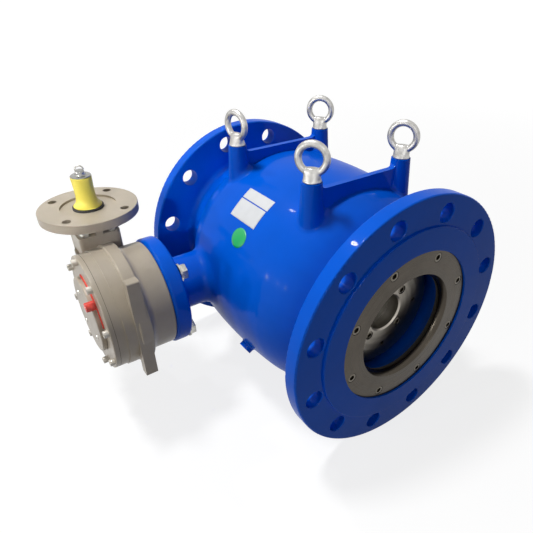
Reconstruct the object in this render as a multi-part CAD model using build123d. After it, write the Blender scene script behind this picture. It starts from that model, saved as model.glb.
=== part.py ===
# Annular flow valve, DN 200 PN 16, with its quarter-turn worm gearbox.
#
# The origin is the centre of the inlet's raised face. +X is the direction of flow, +Z is up,
# and the gearbox stands out towards -Y. All sizes are in millimetres and degrees.
#
# A streamlined bulb sits in the middle of the barrel on four ribs. A plunger slides along the
# flow axis in the bulb's bore and closes against a soft seal behind the outlet's seat ring.
# The gearbox turns a cross shaft through ninety degrees. A crank on the shaft carries a pin,
# and a block on the pin runs in an upright slot of the yoke that pulls and pushes the plunger.

from build123d import *
import os
from math import acos, asin, atan2, cos, degrees, hypot, pi, radians, sin, sqrt, tan

# Pipe flanges, drilled to PN 16
face_to_face = 385.0
flange_diameter = 340.0
flange_thickness = 20.0
bolt_circle = 295.0
bolt_hole = 23.0
bolt_count = 12
raised_face = 266.0
raised_height = 3.0
port_bore = 200.0
flange_round = 2.5
hole_chamfer = 1.0
face_round = 1.2
neck_round = 9.0

# Barrel, as arcs from a long crown down to the neck at each flange
wall = 14.0
crown_radius = 152.3
crown_x = 185.0
crown_arc = 712.0
neck_upstream = 19.9096
neck_downstream = 17.9763
haunch_upstream = 90.0
haunch_downstream = 120.0
blend_upstream = 26.0
blend_downstream = 35.0
throat_radius = 84.0
throat_haunch = 100.0
throat_blend = 30.0

# Bulb and the ribs that hold it
bulb_radius = 90.0
bulb_tip = 44.0
bulb_nose = 106.0
bulb_taper = 270.0
bulb_mouth = 300.0
bulb_mouth_radius = 82.0
rib_start = 95.0
rib_end = 250.0
rib_thickness = 14.0
pocket_clearance = 2.0
nose_pocket_radius = 62.0
chamber_start = 100.0
chamber_radius = 70.0

# Seat ring, its soft seal and its screws
seat_plane = 366.5
ring_recess = 2.5
ring_margin = 9.6
ring_clearance = 0.2
ring_throat = 68.7
ring_mouth = 72.4
seal_inner = 70.0
seal_margin = 6.0
seal_thickness = 4.0
seat_screw_circle = 188.0
seat_screw_count = 8
seat_screw_size = 8.0
seat_screw_length = 20.0
seat_cord = 3.4

# Plunger
plunger_radius = 74.7
plunger_wall = 8.7
plunger_length = 102.5
disc_radius = 74.9
disc_thickness = 11.0
disc_lip = 2.0
bore_clearance = 0.6
guide_width = 10.0
guide_clearance = 0.05
centre_hole = 50.0
web_thickness = 14.0
stroke = 55.0
opening_at_rest = 20.5
closed_clearance = 0.3
disc_screw_circle = 72.0
disc_thread_circle = 102.0
disc_screw_size = 8.0

# Crank, pin, block and yoke
drive_x = 126.0
swing = 90.0
crank_throw = 38.0
pin_radius = 6.5
pin_bush_wall = 1.5
shaft_radius = 20.0
shaft_clearance = 0.05
block_length = 20.0
block_height = 24.0
block_play = 0.9
yoke_half_width = 11.0
yoke_rim = 8.0
yoke_flange_radius = 50.0
yoke_flange_thickness = 12.0
crank_near = 12.0
crank_thickness = 30.0
hub_radius = 29.0
key_width = 12.0
key_height = 8.0
pin_screw_size = 6.0
shaft_end = 290.0

# Cross shaft, its bushes and its seals, as distances from the flow axis
inner_bush_near = 46.0
inner_bush_length = 44.0
outer_bush_near = 150.0
outer_bush_length = 40.0
bush_wall = 4.0
shaft_boss_radius = 32.0
drive_boss_radius = 37.0
boss_round = 16.0
boss_end = 200.0
mount_face = 221.0
mount_radius = 73.5
mount_round = 4.0
mount_circle = 125.0
mount_bolt_size = 12.0
mount_recess = 42.5
mount_recess_depth = 12.0
gland_thickness = 6.0
gland_screw_circle = 62.0
gland_screw_size = 5.0
washer_thickness = 2.5
mount_spigot = 3.5
shaft_cord = 3.5

# Gearbox, turned about the cross shaft
bell_radius = 71.0
bell_end = 254.0
bell_round = 8.0
band_radius = 80.0
band_end = 270.0
drum_radius = 77.5
drum_end = 297.0
lip_start = 286.0
lip_radius = 76.0
case_cavity = 65.0
case_floor = 15.0
case_round = 2.0
cover_radius = 76.0
cover_thickness = 6.0
gasket_thickness = 0.5
cover_screw_circle = 141.0
cover_screw_count = 8
cover_screw_size = 6.0
cover_screw_first = 10.0
indicator_radius = 50.0
indicator_thickness = 6.0
indicator_screw_circle = 63.0
indicator_screw_size = 4.0
pointer_angle = 43.0
pointer_radius = 6.0
pointer_height = 6.0
scale_thickness = 1.5
scale_width = 3.5
running_gap = 0.3
journal_radius = 35.0
pad_face = 204.0
pad_depth = 14.0
pad_width = 15.0
pad_middle = 266.0
pad_top = 72.0
pad_bottom = -67.0

# Worm pair
module = 3.0
wheel_teeth = 40
worm_pitch_radius = 20.0
pressure_angle = 20.0
backlash = 0.7
wheel_width = 28.0
spline_count = 12
spline_tip = 28.0
spline_depth = 2.0
wheel_y = 261.0
thread_length = 42.0
worm_tube_radius = 31.0
worm_tube_bottom = -62.0
worm_journal = 12.0
bearing_width = 14.0
bearing_near = 44.0
bearing_radius = 20.0
input_seal_radius = 18.0
adapter_screw_size = 8.0
input_radius = 10.0

# Actuator flange and the shipping sleeve over the input shaft
neck_block_length = 56.0
neck_block_width = 54.0
neck_block_top = 68.0
adapter_base = 9.0
window_top = 95.0
window_rib = 9.0
input_face = 109.0
input_flange_radius = 62.5
input_flange_thickness = 12.0
input_circle = 102.0
input_hole = 11.0
input_recess_radius = 35.0
input_recess_depth = 3.0
sleeve_top = 148.5
sleeve_waist = 12.3
sleeve_head = 12.6
sleeve_foot = 17.6
sleeve_clearance = 0.15
dust_ring_radius = 19.5
dust_ring_height = 2.5
cap_thickness = 1.5
cap_knob_radius = 6.6
cap_knob_height = 6.5
clip_radius = 6.0
clip_wire = 0.9

# Lifting posts, the webs between them and their eye bolts
post_upstream = 113.5
post_downstream = 276.7
post_side = 70.5
post_rise = 17.9
post_top_radius = 12.0
post_foot_radius = 16.5
post_foot = 95.0
post_round = 9.0
web_drop = 10.2
web_thickness_x = 8.0
web_bite = 1.5
eye_height = 46.7
eye_outer = 41.0
eye_inner = 24.0
eye_collar = 10.8
eye_collar_height = 2.6
eye_thread = 12.0
eye_thread_length = 20.0
eye_turns = {"upstream_near": 12.0, "upstream_far": 38.0, "downstream_near": 38.0, "downstream_far": 28.0}

# Drain plug
drain_x = 216.0
drain_angle = 210.7
drain_boss_radius = 10.0
drain_boss_rise = 7.2
drain_round = 3.0
drain_plug_radius = 6.5

# Worked out from the sizes above
neck_radius = port_bore / 2 + wall
inlet_back = raised_height + flange_thickness
outlet_back = face_to_face - inlet_back
post_top = crown_radius + post_rise
web_top = post_top - web_drop
drain_boss_height = crown_radius + drain_boss_rise
ring_radius = seat_screw_circle / 2 + ring_margin
seal_outer = seat_screw_circle / 2 - seal_margin
travel_per_radian = stroke / radians(swing)
closed_face = seat_plane - closed_clearance
rest_face = closed_face - opening_at_rest
closing_turn = degrees(opening_at_rest / travel_per_radian)
rest_angle = swing / 2 - closing_turn
pin_x = drive_x + crank_throw * sin(radians(rest_angle))
pin_z = crank_throw * cos(radians(rest_angle))
slot_x = drive_x + travel_per_radian * radians(rest_angle)
slot_half_length = block_length / 2 + block_play
slot_low = crank_throw * cos(radians(swing / 2)) - block_height / 2 - block_play
slot_high = crank_throw + block_height / 2 + block_play
plunger_back = rest_face - disc_thickness - plunger_length
bore_radius = plunger_radius + bore_clearance
bore_start = plunger_back - (stroke - opening_at_rest) - 5.0
yoke_back = slot_x - slot_half_length - yoke_rim
nose_pocket_start = yoke_back - (stroke - opening_at_rest) - pocket_clearance
wheel_pitch_radius = module * wheel_teeth / 2
centre_distance = wheel_pitch_radius + worm_pitch_radius
worm_x = drive_x - centre_distance
worm_tip = worm_pitch_radius + module
worm_root = worm_pitch_radius - 1.25 * module
lead = pi * module
cover_face = drum_end + gasket_thickness + cover_thickness
indicator_back = cover_face + running_gap


def rod(start, end, radius):
    """Round bar from one point to another."""
    axis = Vector(*end) - Vector(*start)
    return extrude(Plane(origin=start, z_dir=axis) * Circle(radius), axis.length)


def flow_rod(x_start, x_end, radius):
    """Round bar on the flow axis."""
    return rod((x_start, 0, 0), (x_end, 0, 0), radius)


def drive_rod(near, far, radius):
    """Round bar on the cross shaft's axis, by distances from the flow axis."""
    return rod((drive_x, -near, 0), (drive_x, -far, 0), radius)


def worm_rod(low, high, radius):
    """Round bar on the worm's upright axis."""
    return rod((worm_x, -wheel_y, low), (worm_x, -wheel_y, high), radius)


def block(x_range, y_range, z_range):
    """Square-edged block between three pairs of limits."""
    sizes = [high - low for low, high in (x_range, y_range, z_range)]
    middle = [(high + low) / 2 for low, high in (x_range, y_range, z_range)]
    return Pos(*middle) * Box(*sizes)


def flow_circle(diameter, count, first=0.0):
    """Points (y, z) spaced round the flow axis, the first one turned from the top."""
    angles = [radians(first + 360 * index / count) for index in range(count)]
    return [(diameter / 2 * sin(angle), diameter / 2 * cos(angle)) for angle in angles]


def drive_circle(diameter, count, first=0.0):
    """Points (x, z) spaced round the cross shaft's axis, the first one turned from +X."""
    angles = [radians(first + 360 * index / count) for index in range(count)]
    return [(drive_x + diameter / 2 * cos(angle), diameter / 2 * sin(angle)) for angle in angles]


def round_edges(shape, radius, wanted):
    """Fillet the circular edges that the test picks."""
    return fillet([edge for edge in shape.edges().filter_by(GeomType.CIRCLE) if wanted(edge)], radius)


def hex_bar(start, end, across):
    """Six-sided bar from one point to another, by its size across flats."""
    axis = Vector(*end) - Vector(*start)
    outline = RegularPolygon(across / 2, 6, major_radius=False)
    return extrude(Plane(origin=start, z_dir=axis) * outline, axis.length)


def socket_screw(seat, direction, size, length):
    """Socket head cap screw with its head standing on the seat and its shank below it."""
    seat = Vector(*seat)
    out = Vector(*direction)
    head = rod(seat, seat + out * size, 0.75 * size)
    shank = rod(seat - out * length, seat, size / 2)
    socket = hex_bar(seat + out * size * 0.5, seat + out * size * 1.1, 0.8 * size)
    return head + shank - socket


def hex_screw(seat, direction, size, length):
    """Hexagon head screw with its head standing on the seat and its shank below it."""
    seat = Vector(*seat)
    out = Vector(*direction)
    head = hex_bar(seat, seat + out * size * 0.65, 1.55 * size)
    return head + rod(seat - out * length, seat, size / 2)


def shoulder(end, slope, neck, haunch, blend, side):
    """Arcs from the crown's end down to a neck, and the point where the neck begins.

    A convex arc of radius haunch leaves the crown at its slope, and a hollow arc of radius blend
    takes over where the two are tangent and runs out level at the neck's radius.
    """
    turn = acos((haunch * cos(slope) + blend - (end[1] - neck)) / (haunch + blend))

    def on_haunch(angle):
        along = haunch * (sin(angle) - sin(slope))
        return (end[0] + side * along, end[1] - haunch * (cos(slope) - cos(angle)))

    foot = on_haunch(turn)

    def on_blend(angle):
        along = blend * (sin(turn) - sin(angle))
        return (foot[0] + side * along, foot[1] + blend * (cos(turn) - cos(angle)))

    arcs = [
        ThreePointArc(end, on_haunch((slope + turn) / 2), foot),
        ThreePointArc(foot, on_blend(turn / 2), on_blend(0)),
    ]
    return arcs, on_blend(0)


def crown_slope(neck_x, haunch, blend):
    """Slope at the crown's end that brings a shoulder down to its neck at the given place.

    The centres of crown, haunch and blend make a triangle whose three sides are known.
    """
    crown_to_haunch = crown_arc - haunch
    haunch_to_blend = haunch + blend
    across = abs(neck_x - crown_x)
    down = crown_arc - crown_radius + neck_radius + blend
    crown_to_blend = hypot(across, down)
    squares = crown_to_haunch**2 + crown_to_blend**2 - haunch_to_blend**2
    return atan2(across, down) - acos(squares / (2 * crown_to_haunch * crown_to_blend))


def barrel_outline(inset, downstream):
    """Crown and shoulders of the barrel, set in from the outside, and the points where the necks begin.

    downstream gives the neck, haunch and blend radii of the side towards the outlet.
    """
    crown = crown_radius - inset
    arc = crown_arc - inset
    up_slope = crown_slope(inlet_back + neck_upstream, haunch_upstream, blend_upstream)
    down_slope = crown_slope(outlet_back - neck_downstream, haunch_downstream, blend_downstream)
    up_end = (crown_x - arc * sin(up_slope), crown - arc * (1 - cos(up_slope)))
    down_end = (crown_x + arc * sin(down_slope), crown - arc * (1 - cos(down_slope)))
    upstream = (neck_radius - inset, haunch_upstream - inset, blend_upstream + inset)
    up_arcs, up_neck = shoulder(up_end, up_slope, *upstream, -1)
    down_arcs, down_neck = shoulder(down_end, down_slope, *downstream, 1)
    return [ThreePointArc(up_end, (crown_x, crown), down_end), *up_arcs, *down_arcs], up_neck, down_neck


def barrel_solid(inset, downstream, x_start, x_end):
    """Barrel turned about the flow axis, with its necks run out to two planes."""
    arcs, up_neck, down_neck = barrel_outline(inset, downstream)
    corners = [(x_start, up_neck[1]), (x_start, 0), (x_end, 0), (x_end, down_neck[1])]
    return revolve(make_face(Curve() + [*arcs, Polyline(up_neck, *corners, down_neck)]), Axis.X)


def necked_barrel():
    """Outside of the barrel, with the plate inside each flange ring and its raised face."""
    shell = barrel_solid(0, (neck_radius, haunch_downstream, blend_downstream), raised_height, outlet_back)
    shell = shell + flow_rod(raised_height, inlet_back, raised_face / 2)
    shell = shell + flow_rod(outlet_back, face_to_face - raised_height, raised_face / 2)
    shell = round_edges(
        shell,
        min(neck_round, 0.9 * neck_upstream, 0.9 * neck_downstream),
        lambda edge: edge.radius < raised_face / 2 - 1 and on_planes(edge, (inlet_back, outlet_back)),
    )
    for outer, inner in ((0, raised_height), (face_to_face, face_to_face - raised_height)):
        face = flow_rod(min(outer, inner), max(outer, inner), raised_face / 2)
        shell = shell + round_edges(face, face_round, lambda edge: on_planes(edge, (outer,)))
    return shell


def on_planes(edge, places):
    """Whether a round edge lies in one of the planes across the flow axis."""
    return min(abs(edge.center().X - x) for x in places) < 0.01


def post_places():
    """Lifting posts as (name, x, y)."""
    return [
        ("upstream_near", post_upstream, -post_side),
        ("upstream_far", post_upstream, post_side),
        ("downstream_near", post_downstream, -post_side),
        ("downstream_far", post_downstream, post_side),
    ]


def lifting_web(x):
    """Plate across the crown between two posts, swept up to each post by a quarter round."""
    sweep_up = post_top - web_top - 2
    reach = post_side - post_top_radius + web_bite
    crest = web_top + sweep_up
    half = [
        Polyline((0, post_foot), (post_side, post_foot), (post_side, crest), (reach, crest)),
        RadiusArc((reach, crest), (reach - sweep_up, web_top), sweep_up),
        Line((reach - sweep_up, web_top), (0, web_top)),
    ]
    outline = Curve() + half + [edge.mirror(Plane.YZ) for edge in half]
    plane = Plane(origin=(x - web_thickness_x / 2, 0, 0), x_dir=(0, 1, 0), z_dir=(1, 0, 0))
    return extrude(plane * make_face(outline), web_thickness_x)


def joined(base, added, radius):
    """Base and the added solids as one, filleted along the seams between them."""
    whole = base + added
    return fillet(new_edges(base, *added, combined=whole), radius)


def body_outside():
    """Painted casting before its passages are cut."""
    boss = drive_rod(crown_radius / 2, boss_end, drive_boss_radius)
    drain = rod((drain_x, 0, 0), drain_point(drain_boss_height), drain_boss_radius)
    posts = [
        Pos(x, y, (post_foot + post_top) / 2) * Cone(post_foot_radius, post_top_radius, post_top - post_foot)
        for _, x, y in post_places()
    ]
    body = joined(necked_barrel(), [boss], boss_round)
    body = joined(body, [drain], drain_round)
    body = joined(body, posts, post_round)
    body = body + lifting_web(post_upstream) + lifting_web(post_downstream)
    plate = drive_rod(boss_end, mount_face, mount_radius)
    plate = round_edges(plate, mount_round, lambda edge: True)
    return body + plate


def drain_point(radius):
    """Point at a distance from the flow axis along the drain plug's direction."""
    angle = radians(drain_angle)
    return (drain_x, radius * cos(angle), radius * sin(angle))


def bulb():
    """Outside of the bulb: an elliptical nose, a straight middle and a taper to the mouth."""
    nose_end = bulb_tip + bulb_nose
    outline = Curve() + [
        EllipticalCenterArc((nose_end, 0), bulb_nose, bulb_radius, 90, arc_size=90),
        Polyline(
            (nose_end, bulb_radius),
            (bulb_taper, bulb_radius),
            (bulb_mouth, bulb_mouth_radius),
            (bulb_mouth, 0),
            (bulb_tip, 0),
        ),
    ]
    return revolve(make_face(outline), Axis.X)


def ribs():
    """Four ribs between bulb and barrel, the one towards the gearbox with the shaft's boss."""
    length = rib_end - rib_start
    height = crown_radius - chamber_radius
    rib = extrude(SlotOverall(length, rib_thickness), height)
    rib = Pos((rib_start + rib_end) / 2, 0, chamber_radius) * rib
    boss = drive_rod(chamber_radius, crown_radius, shaft_boss_radius)
    return [Rot(turn, 0, 0) * rib for turn in (0, 90, 180, 270)] + [boss]


def mechanism_cavity():
    """Chamber behind the plunger and the bore that it slides in."""
    pocket = flow_rod(nose_pocket_start, chamber_start, nose_pocket_radius)
    chamber = flow_rod(chamber_start, bore_start, chamber_radius)
    return pocket + chamber + flow_rod(bore_start, bulb_mouth + 1, bore_radius)


def passage_form():
    """Space inside the barrel from port to seat, before the guide stands in it."""
    return barrel_solid(wall, (throat_radius, throat_haunch, throat_blend), -1, seat_plane + 1)


def bolt_hole_form():
    """Bolt hole through a flange, chamfered at both ends, centred on the flange's middle."""
    hole = Cylinder(bolt_hole / 2, flange_thickness + 2)
    mouth = Cone(bolt_hole / 2 + 2 * hole_chamfer, bolt_hole / 2, 2 * hole_chamfer)
    for turn in (0, 180):
        hole = hole + Rot(turn, 0, 0) * Pos(0, 0, -flange_thickness / 2) * mouth
    return Rot(0, 90, 0) * hole


def flange_ring(x_start):
    """Drilled ring of a pipe flange round its raised face, the holes straddling the centre lines."""
    plate = flow_rod(x_start, x_start + flange_thickness, flange_diameter / 2)
    plate = round_edges(plate, flange_round, lambda edge: True)
    plate = plate - flow_rod(x_start - 1, x_start + flange_thickness + 1, raised_face / 2)
    hole = bolt_hole_form()
    places = flow_circle(bolt_circle, bolt_count, 180 / bolt_count)
    return plate - [Pos(x_start + flange_thickness / 2, y, z) * hole for y, z in places]


def shaft_passage():
    """Stepped bore for the cross shaft with its bushes and gland, from the chamber outwards."""
    bush = shaft_radius + bush_wall
    gland_near = mount_face - mount_recess_depth
    return [
        drive_rod(crank_near, inner_bush_near + inner_bush_length, bush),
        drive_rod(inner_bush_near, outer_bush_near, shaft_radius + 2),
        drive_rod(outer_bush_near, gland_near - gland_length(), bush),
        drive_rod(gland_near - gland_length(), mount_face, bush + 3),
        drive_rod(gland_near, mount_face + 1, mount_recess),
    ]


def gland_length():
    """Depth of the gland's sleeve below its plate."""
    return mount_face - mount_recess_depth - outer_bush_near - outer_bush_length - 1


def seat_screw_points():
    return flow_circle(seat_screw_circle, seat_screw_count, 180 / seat_screw_count)


def flow_guide():
    """Bulb on four ribs inside the barrel, with the chamber and bore that the plunger slides in."""
    guide = (bulb() + ribs()) & passage_form()
    guide = guide - mechanism_cavity() + drive_rod(inner_bush_near, bulb_radius, hub_radius)
    return guide - shaft_passage()


def valve_body():
    """Barrel of the casting, with its necks, lifting posts and the gearbox mounting."""
    body = body_outside() - passage_form()
    cuts = [flow_rod(seat_plane, face_to_face + 1, ring_radius + ring_clearance)]
    cuts += shaft_passage()
    for y, z in seat_screw_points():
        bottom = seat_plane - seat_screw_length / 2
        cuts.append(rod((bottom, y, z), (seat_plane + 1, y, z), seat_screw_size / 2))
    for _, x, y in post_places():
        cuts.append(rod((x, y, post_top - eye_thread_length - 2), (x, y, post_top + 1), eye_thread / 2))
    for x, z in drive_circle(mount_circle, 4, 45):
        cuts.append(rod((x, -boss_end + 1, z), (x, -mount_face - 1, z), mount_bolt_size / 2 + 0.7))
    for x, z in drive_circle(gland_screw_circle, 4, 0):
        gland_near = mount_face - mount_recess_depth
        cuts.append(rod((x, -gland_near + 12, z), (x, -gland_near, z), gland_screw_size / 2))
    inner, outer = drain_point(crown_radius - 2 * wall), drain_point(drain_boss_height + 1)
    cuts.append(rod(inner, outer, drain_plug_radius))
    return body - cuts


def drain_plug():
    """Threaded plug with a hexagon socket, flush in its boss."""
    foot = drain_point(crown_radius - wall)
    head = drain_point(drain_boss_height - 0.5)
    socket = hex_bar(drain_point(drain_boss_height - 5), drain_point(drain_boss_height), 6)
    return rod(foot, head, drain_plug_radius) - socket


def eye_bolt(x, y, turn):
    """Lifting eye bolt: a ring on a necked collar, its shank in the post."""
    section = (eye_outer - eye_inner) / 4
    middle = eye_height - eye_outer / 2
    ring = Pos(0, 0, middle) * Rot(0, 0, turn) * Rot(90, 0, 0) * Torus(eye_inner / 2 + section, section)
    window = Pos(0, 0, middle) * Rot(0, 0, turn) * Rot(90, 0, 0) * Cylinder(eye_inner / 2, eye_outer)
    rise = middle - eye_inner / 2 - eye_collar_height
    collar = Pos(0, 0, eye_collar_height / 2) * Cylinder(eye_collar, eye_collar_height)
    neck = Pos(0, 0, eye_collar_height + rise / 2) * Cone(eye_collar - 0.6, section + 0.6, rise)
    bolt = collar + (neck - window) + ring
    return Pos(x, y, post_top) * (bolt + rod((0, 0, -eye_thread_length), (0, 0, 1), eye_thread / 2))


def eye_bolts():
    return [eye_bolt(x, y, eye_turns[name]) for name, x, y in post_places()]


def seat_ring():
    """Stainless ring that holds the seat seal, with a rounded mouth."""
    face = face_to_face - ring_recess
    throat_x = seat_plane + seal_thickness + 0.8
    outline = Curve() + [
        Polyline(
            (throat_x, ring_throat),
            (seat_plane + seal_thickness, ring_throat),
            (seat_plane + seal_thickness, seal_outer),
            (seat_plane, seal_outer),
            (seat_plane, ring_radius),
            (face, ring_radius),
            (face, ring_mouth),
        ),
        ThreePointArc(
            (throat_x, ring_throat),
            ((throat_x + face) / 2, (ring_throat + ring_mouth) / 2 - 0.9),
            (face, ring_mouth),
        ),
    ]
    ring = revolve(make_face(outline), Axis.X)
    groove = Pos((seat_plane + face) / 2, 0, 0) * Rot(0, 90, 0) * (
        Cylinder(ring_radius + 1, seat_cord + 0.4) - Cylinder(ring_radius - seat_cord + 0.2, seat_cord + 1)
    )
    ring = ring - groove
    for y, z in seat_screw_points():
        ring = ring - rod((seat_plane - 1, y, z), (face, y, z), seat_screw_size / 2 + 0.3)
        ring = ring - rod((face - seat_screw_size, y, z), (face + 1, y, z), 0.75 * seat_screw_size + 0.4)
    return ring


def seat_ring_cord():
    """Round sealing cord in the ring's outer groove."""
    middle = (seat_plane + face_to_face - ring_recess) / 2
    radius = ring_radius + ring_clearance - seat_cord / 2
    return Pos(middle, 0, 0) * Rot(0, 90, 0) * Torus(radius, seat_cord / 2)


def seat_seal():
    """Flat soft ring clamped between the seat ring and the body."""
    return flow_rod(seat_plane, seat_plane + seal_thickness, seal_outer) - flow_rod(
        seat_plane - 1, seat_plane + seal_thickness + 1, seal_inner
    )


def seat_screws():
    seat = face_to_face - ring_recess - seat_screw_size
    length = seat - seat_plane + seat_screw_length / 2 - 1
    return [socket_screw((seat, y, z), (1, 0, 0), seat_screw_size, length) for y, z in seat_screw_points()]


def guide_positions():
    """Places of the two guide rings and the seal, measured from the plunger's back."""
    return [plunger_back + 4, plunger_back + 28]


def plunger_cylinder():
    """Tube that slides in the bulb's bore, with a web at its front for the disc and the yoke."""
    front = rest_face - disc_thickness
    inside = plunger_radius - plunger_wall
    tube = flow_rod(plunger_back, front, plunger_radius)
    tube = tube - flow_rod(plunger_back - 1, front - web_thickness, inside)
    tube = tube - flow_rod(plunger_back, front + 1, centre_hole / 2)
    for x in guide_positions():
        groove = flow_rod(x, x + guide_width, plunger_radius + 1)
        tube = tube - (groove - flow_rod(x, x + guide_width, plunger_radius - 2))
    for y, z in flow_circle(disc_screw_circle, 4, 45) + flow_circle(yoke_screw_circle(), 4, 0):
        tube = tube - rod((front - web_thickness - 1, y, z), (front + 1, y, z), disc_screw_size / 2)
    return tube


def yoke_screw_circle():
    return yoke_flange_radius * 2 - 18


def guide_rings():
    """Two slide rings in the plunger's grooves, running in the bulb's bore."""
    outer = bore_radius - guide_clearance
    return [
        flow_rod(x, x + guide_width, outer) - flow_rod(x - 1, x + guide_width + 1, plunger_radius - 2)
        for x in guide_positions()
    ]


def plunger_disc():
    """Stainless front of the plunger, stepped at its rim, with a chamfered centre hole."""
    back = rest_face - disc_thickness
    rim = disc_radius
    outline = Polyline(
        (back, centre_hole / 2),
        (rest_face - 2, centre_hole / 2),
        (rest_face, centre_hole / 2 + 2),
        (rest_face, rim - 7),
        (rest_face - 1, rim - 6),
        (rest_face - 1, rim - 2),
        (rest_face - disc_lip - 1, rim),
        (back, rim),
        close=True,
    )
    disc = revolve(make_face(outline), Axis.X)
    for y, z in flow_circle(disc_screw_circle, 4, 45):
        disc = disc - rod((back - 1, y, z), (rest_face + 1, y, z), disc_screw_size / 2)
        sunk = (rest_face - disc_screw_size, y, z)
        disc = disc - rod(sunk, (rest_face + 1, y, z), 0.75 * disc_screw_size + 0.3)
    for y, z in flow_circle(disc_thread_circle, 4, 0):
        disc = disc - rod((back + 2, y, z), (rest_face + 1, y, z), 3)
    return disc


def plunger_disc_screws():
    seat = rest_face - disc_screw_size
    length = seat - (rest_face - disc_thickness - web_thickness) - 1
    return [
        socket_screw((seat, y, z), (1, 0, 0), disc_screw_size, length)
        for y, z in flow_circle(disc_screw_circle, 4, 45)
    ]


def yoke():
    """Plate with the upright slot, tapering to a flange that is screwed to the plunger's web."""
    web_back = rest_face - disc_thickness - web_thickness
    flange_back = web_back - yoke_flange_thickness
    front = slot_x + slot_half_length + 1.5 * yoke_rim
    low = slot_low - yoke_rim
    high = slot_high + yoke_rim
    profile = make_face(
        Polyline(
            (yoke_back, low),
            (yoke_back, high),
            (front, high),
            (flange_back, yoke_flange_radius * 0.6),
            (flange_back, -yoke_flange_radius * 0.6),
            (front, low),
            close=True,
        )
    )
    profile = fillet([profile.vertices().group_by(Axis.X)[0]], 6)
    slot = Pos(slot_x, (slot_low + slot_high) / 2) * Rectangle(2 * slot_half_length, slot_high - slot_low)
    lightening = Pos((front + flange_back) / 2 + 8, (low + high) / 6) * SlotOverall(
        (flange_back - front) * 0.62, yoke_flange_radius * 0.5
    )
    plate = extrude(Plane.XZ * (profile - slot - lightening), yoke_half_width, both=True)
    flange = flow_rod(flange_back, web_back, yoke_flange_radius)
    for y, z in flow_circle(yoke_screw_circle(), 4, 0):
        flange = flange - rod((flange_back - 1, y, z), (web_back + 1, y, z), disc_screw_size / 2)
    return plate + flange


def yoke_screws():
    web_back = rest_face - disc_thickness - web_thickness
    seat = web_back - yoke_flange_thickness
    length = yoke_flange_thickness + web_thickness - 1
    return [
        hex_screw((seat, y, z), (-1, 0, 0), disc_screw_size, length)
        for y, z in flow_circle(yoke_screw_circle(), 4, 0)
    ]


def block_bush():
    """Bronze bush in the block, running on the crank pin."""
    near = (pin_x, yoke_half_width, pin_z)
    far = (pin_x, -yoke_half_width, pin_z)
    return rod(near, far, pin_radius + pin_bush_wall) - rod(near, far, pin_radius + shaft_clearance)


def slide_block():
    """Hardened block that turns on the crank pin and slides in the yoke's slot."""
    body = block(
        (pin_x - block_length / 2, pin_x + block_length / 2),
        (-yoke_half_width, yoke_half_width),
        (pin_z - block_height / 2, pin_z + block_height / 2),
    )
    body = fillet(body.edges().filter_by(Axis.Y), 1.5)
    return body - rod((pin_x, -crank_near, pin_z), (pin_x, crank_near, pin_z), pin_radius + pin_bush_wall)


def crank_key_block(near, far, width, height):
    """Key lying along the cross shaft, half in the shaft and half in what it drives."""
    middle = shaft_radius * sqrt(1 - (width / 2 / shaft_radius) ** 2)
    half = width / 2
    return block((drive_x - half, drive_x + half), (-far, -near), (middle - height / 2, middle + height / 2))


def crank_key():
    return crank_key_block(crank_near + 4, crank_near + crank_thickness - 2, key_width, key_height)


def wheel_key():
    return crank_key_block(mount_face + 10, drum_end - 16, key_width, key_height)


def crank_arm():
    """Crank: a keyed hub on the shaft and an arm that carries the pin."""
    face = Plane(origin=(drive_x, -crank_near, 0), x_dir=(1, 0, 0), z_dir=(0, -1, 0))
    arm_z = -pin_z
    circles = Circle(hub_radius) + Pos(pin_x - drive_x, arm_z) * Circle(pin_radius + 7)
    arm = extrude(face * make_hull(circles.edges()), crank_thickness * 0.6)
    arm = arm + drive_rod(crank_near, crank_near + crank_thickness, hub_radius)
    arm = arm - drive_rod(0, inner_bush_near, shaft_radius)
    arm = arm - rod((pin_x, 0, pin_z), (pin_x, -inner_bush_near, pin_z), pin_radius)
    return arm - crank_key()


def crank_pin():
    """Pin pressed in the crank arm, tapped at its free end."""
    free_end = yoke_half_width + running_gap
    pin = rod((pin_x, free_end, pin_z), (pin_x, -crank_near - crank_thickness * 0.6, pin_z), pin_radius)
    return pin - rod((pin_x, free_end - 14, pin_z), (pin_x, free_end, pin_z), pin_screw_size / 2)


def pin_washer():
    """Washer that keeps the block on the pin."""
    near = (pin_x, yoke_half_width + running_gap, pin_z)
    far = (pin_x, yoke_half_width + running_gap + 3, pin_z)
    return rod(near, far, pin_radius + 6) - rod(near, far, pin_screw_size / 2)


def pin_screw():
    seat = (pin_x, yoke_half_width + running_gap + 3, pin_z)
    return socket_screw(seat, (0, 1, 0), pin_screw_size, 14)


def drive_shaft():
    """Cross shaft from the crank to the worm wheel, with its two keyways."""
    shaft = drive_rod(crank_near + 0.5, shaft_end, shaft_radius)
    return shaft - crank_key() - wheel_key()


def inner_bush():
    """Flanged bush in the bulb's boss."""
    far = inner_bush_near + inner_bush_length
    bush = drive_rod(inner_bush_near, far, shaft_radius + bush_wall)
    flange = drive_rod(crank_near + crank_thickness + 0.4, inner_bush_near, hub_radius)
    return bush + flange - drive_rod(0, far, shaft_radius + shaft_clearance)


def outer_bush():
    """Plain bush in the drive boss."""
    far = outer_bush_near + outer_bush_length
    bush = drive_rod(outer_bush_near, far, shaft_radius + bush_wall)
    return bush - drive_rod(outer_bush_near, far, shaft_radius + shaft_clearance)


def gland_grooves():
    """Cord grooves of the gland as (middle distance, groove floor radius, groove mouth radius)."""
    near = mount_face - mount_recess_depth - gland_length()
    bore = shaft_radius + shaft_clearance
    outside = shaft_radius + bush_wall + 3
    return [
        (near + 4.5, bore + shaft_cord, bore),
        (near + 9.0, outside - shaft_cord, outside),
        (near + 13.5, bore + shaft_cord, bore),
    ]


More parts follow.
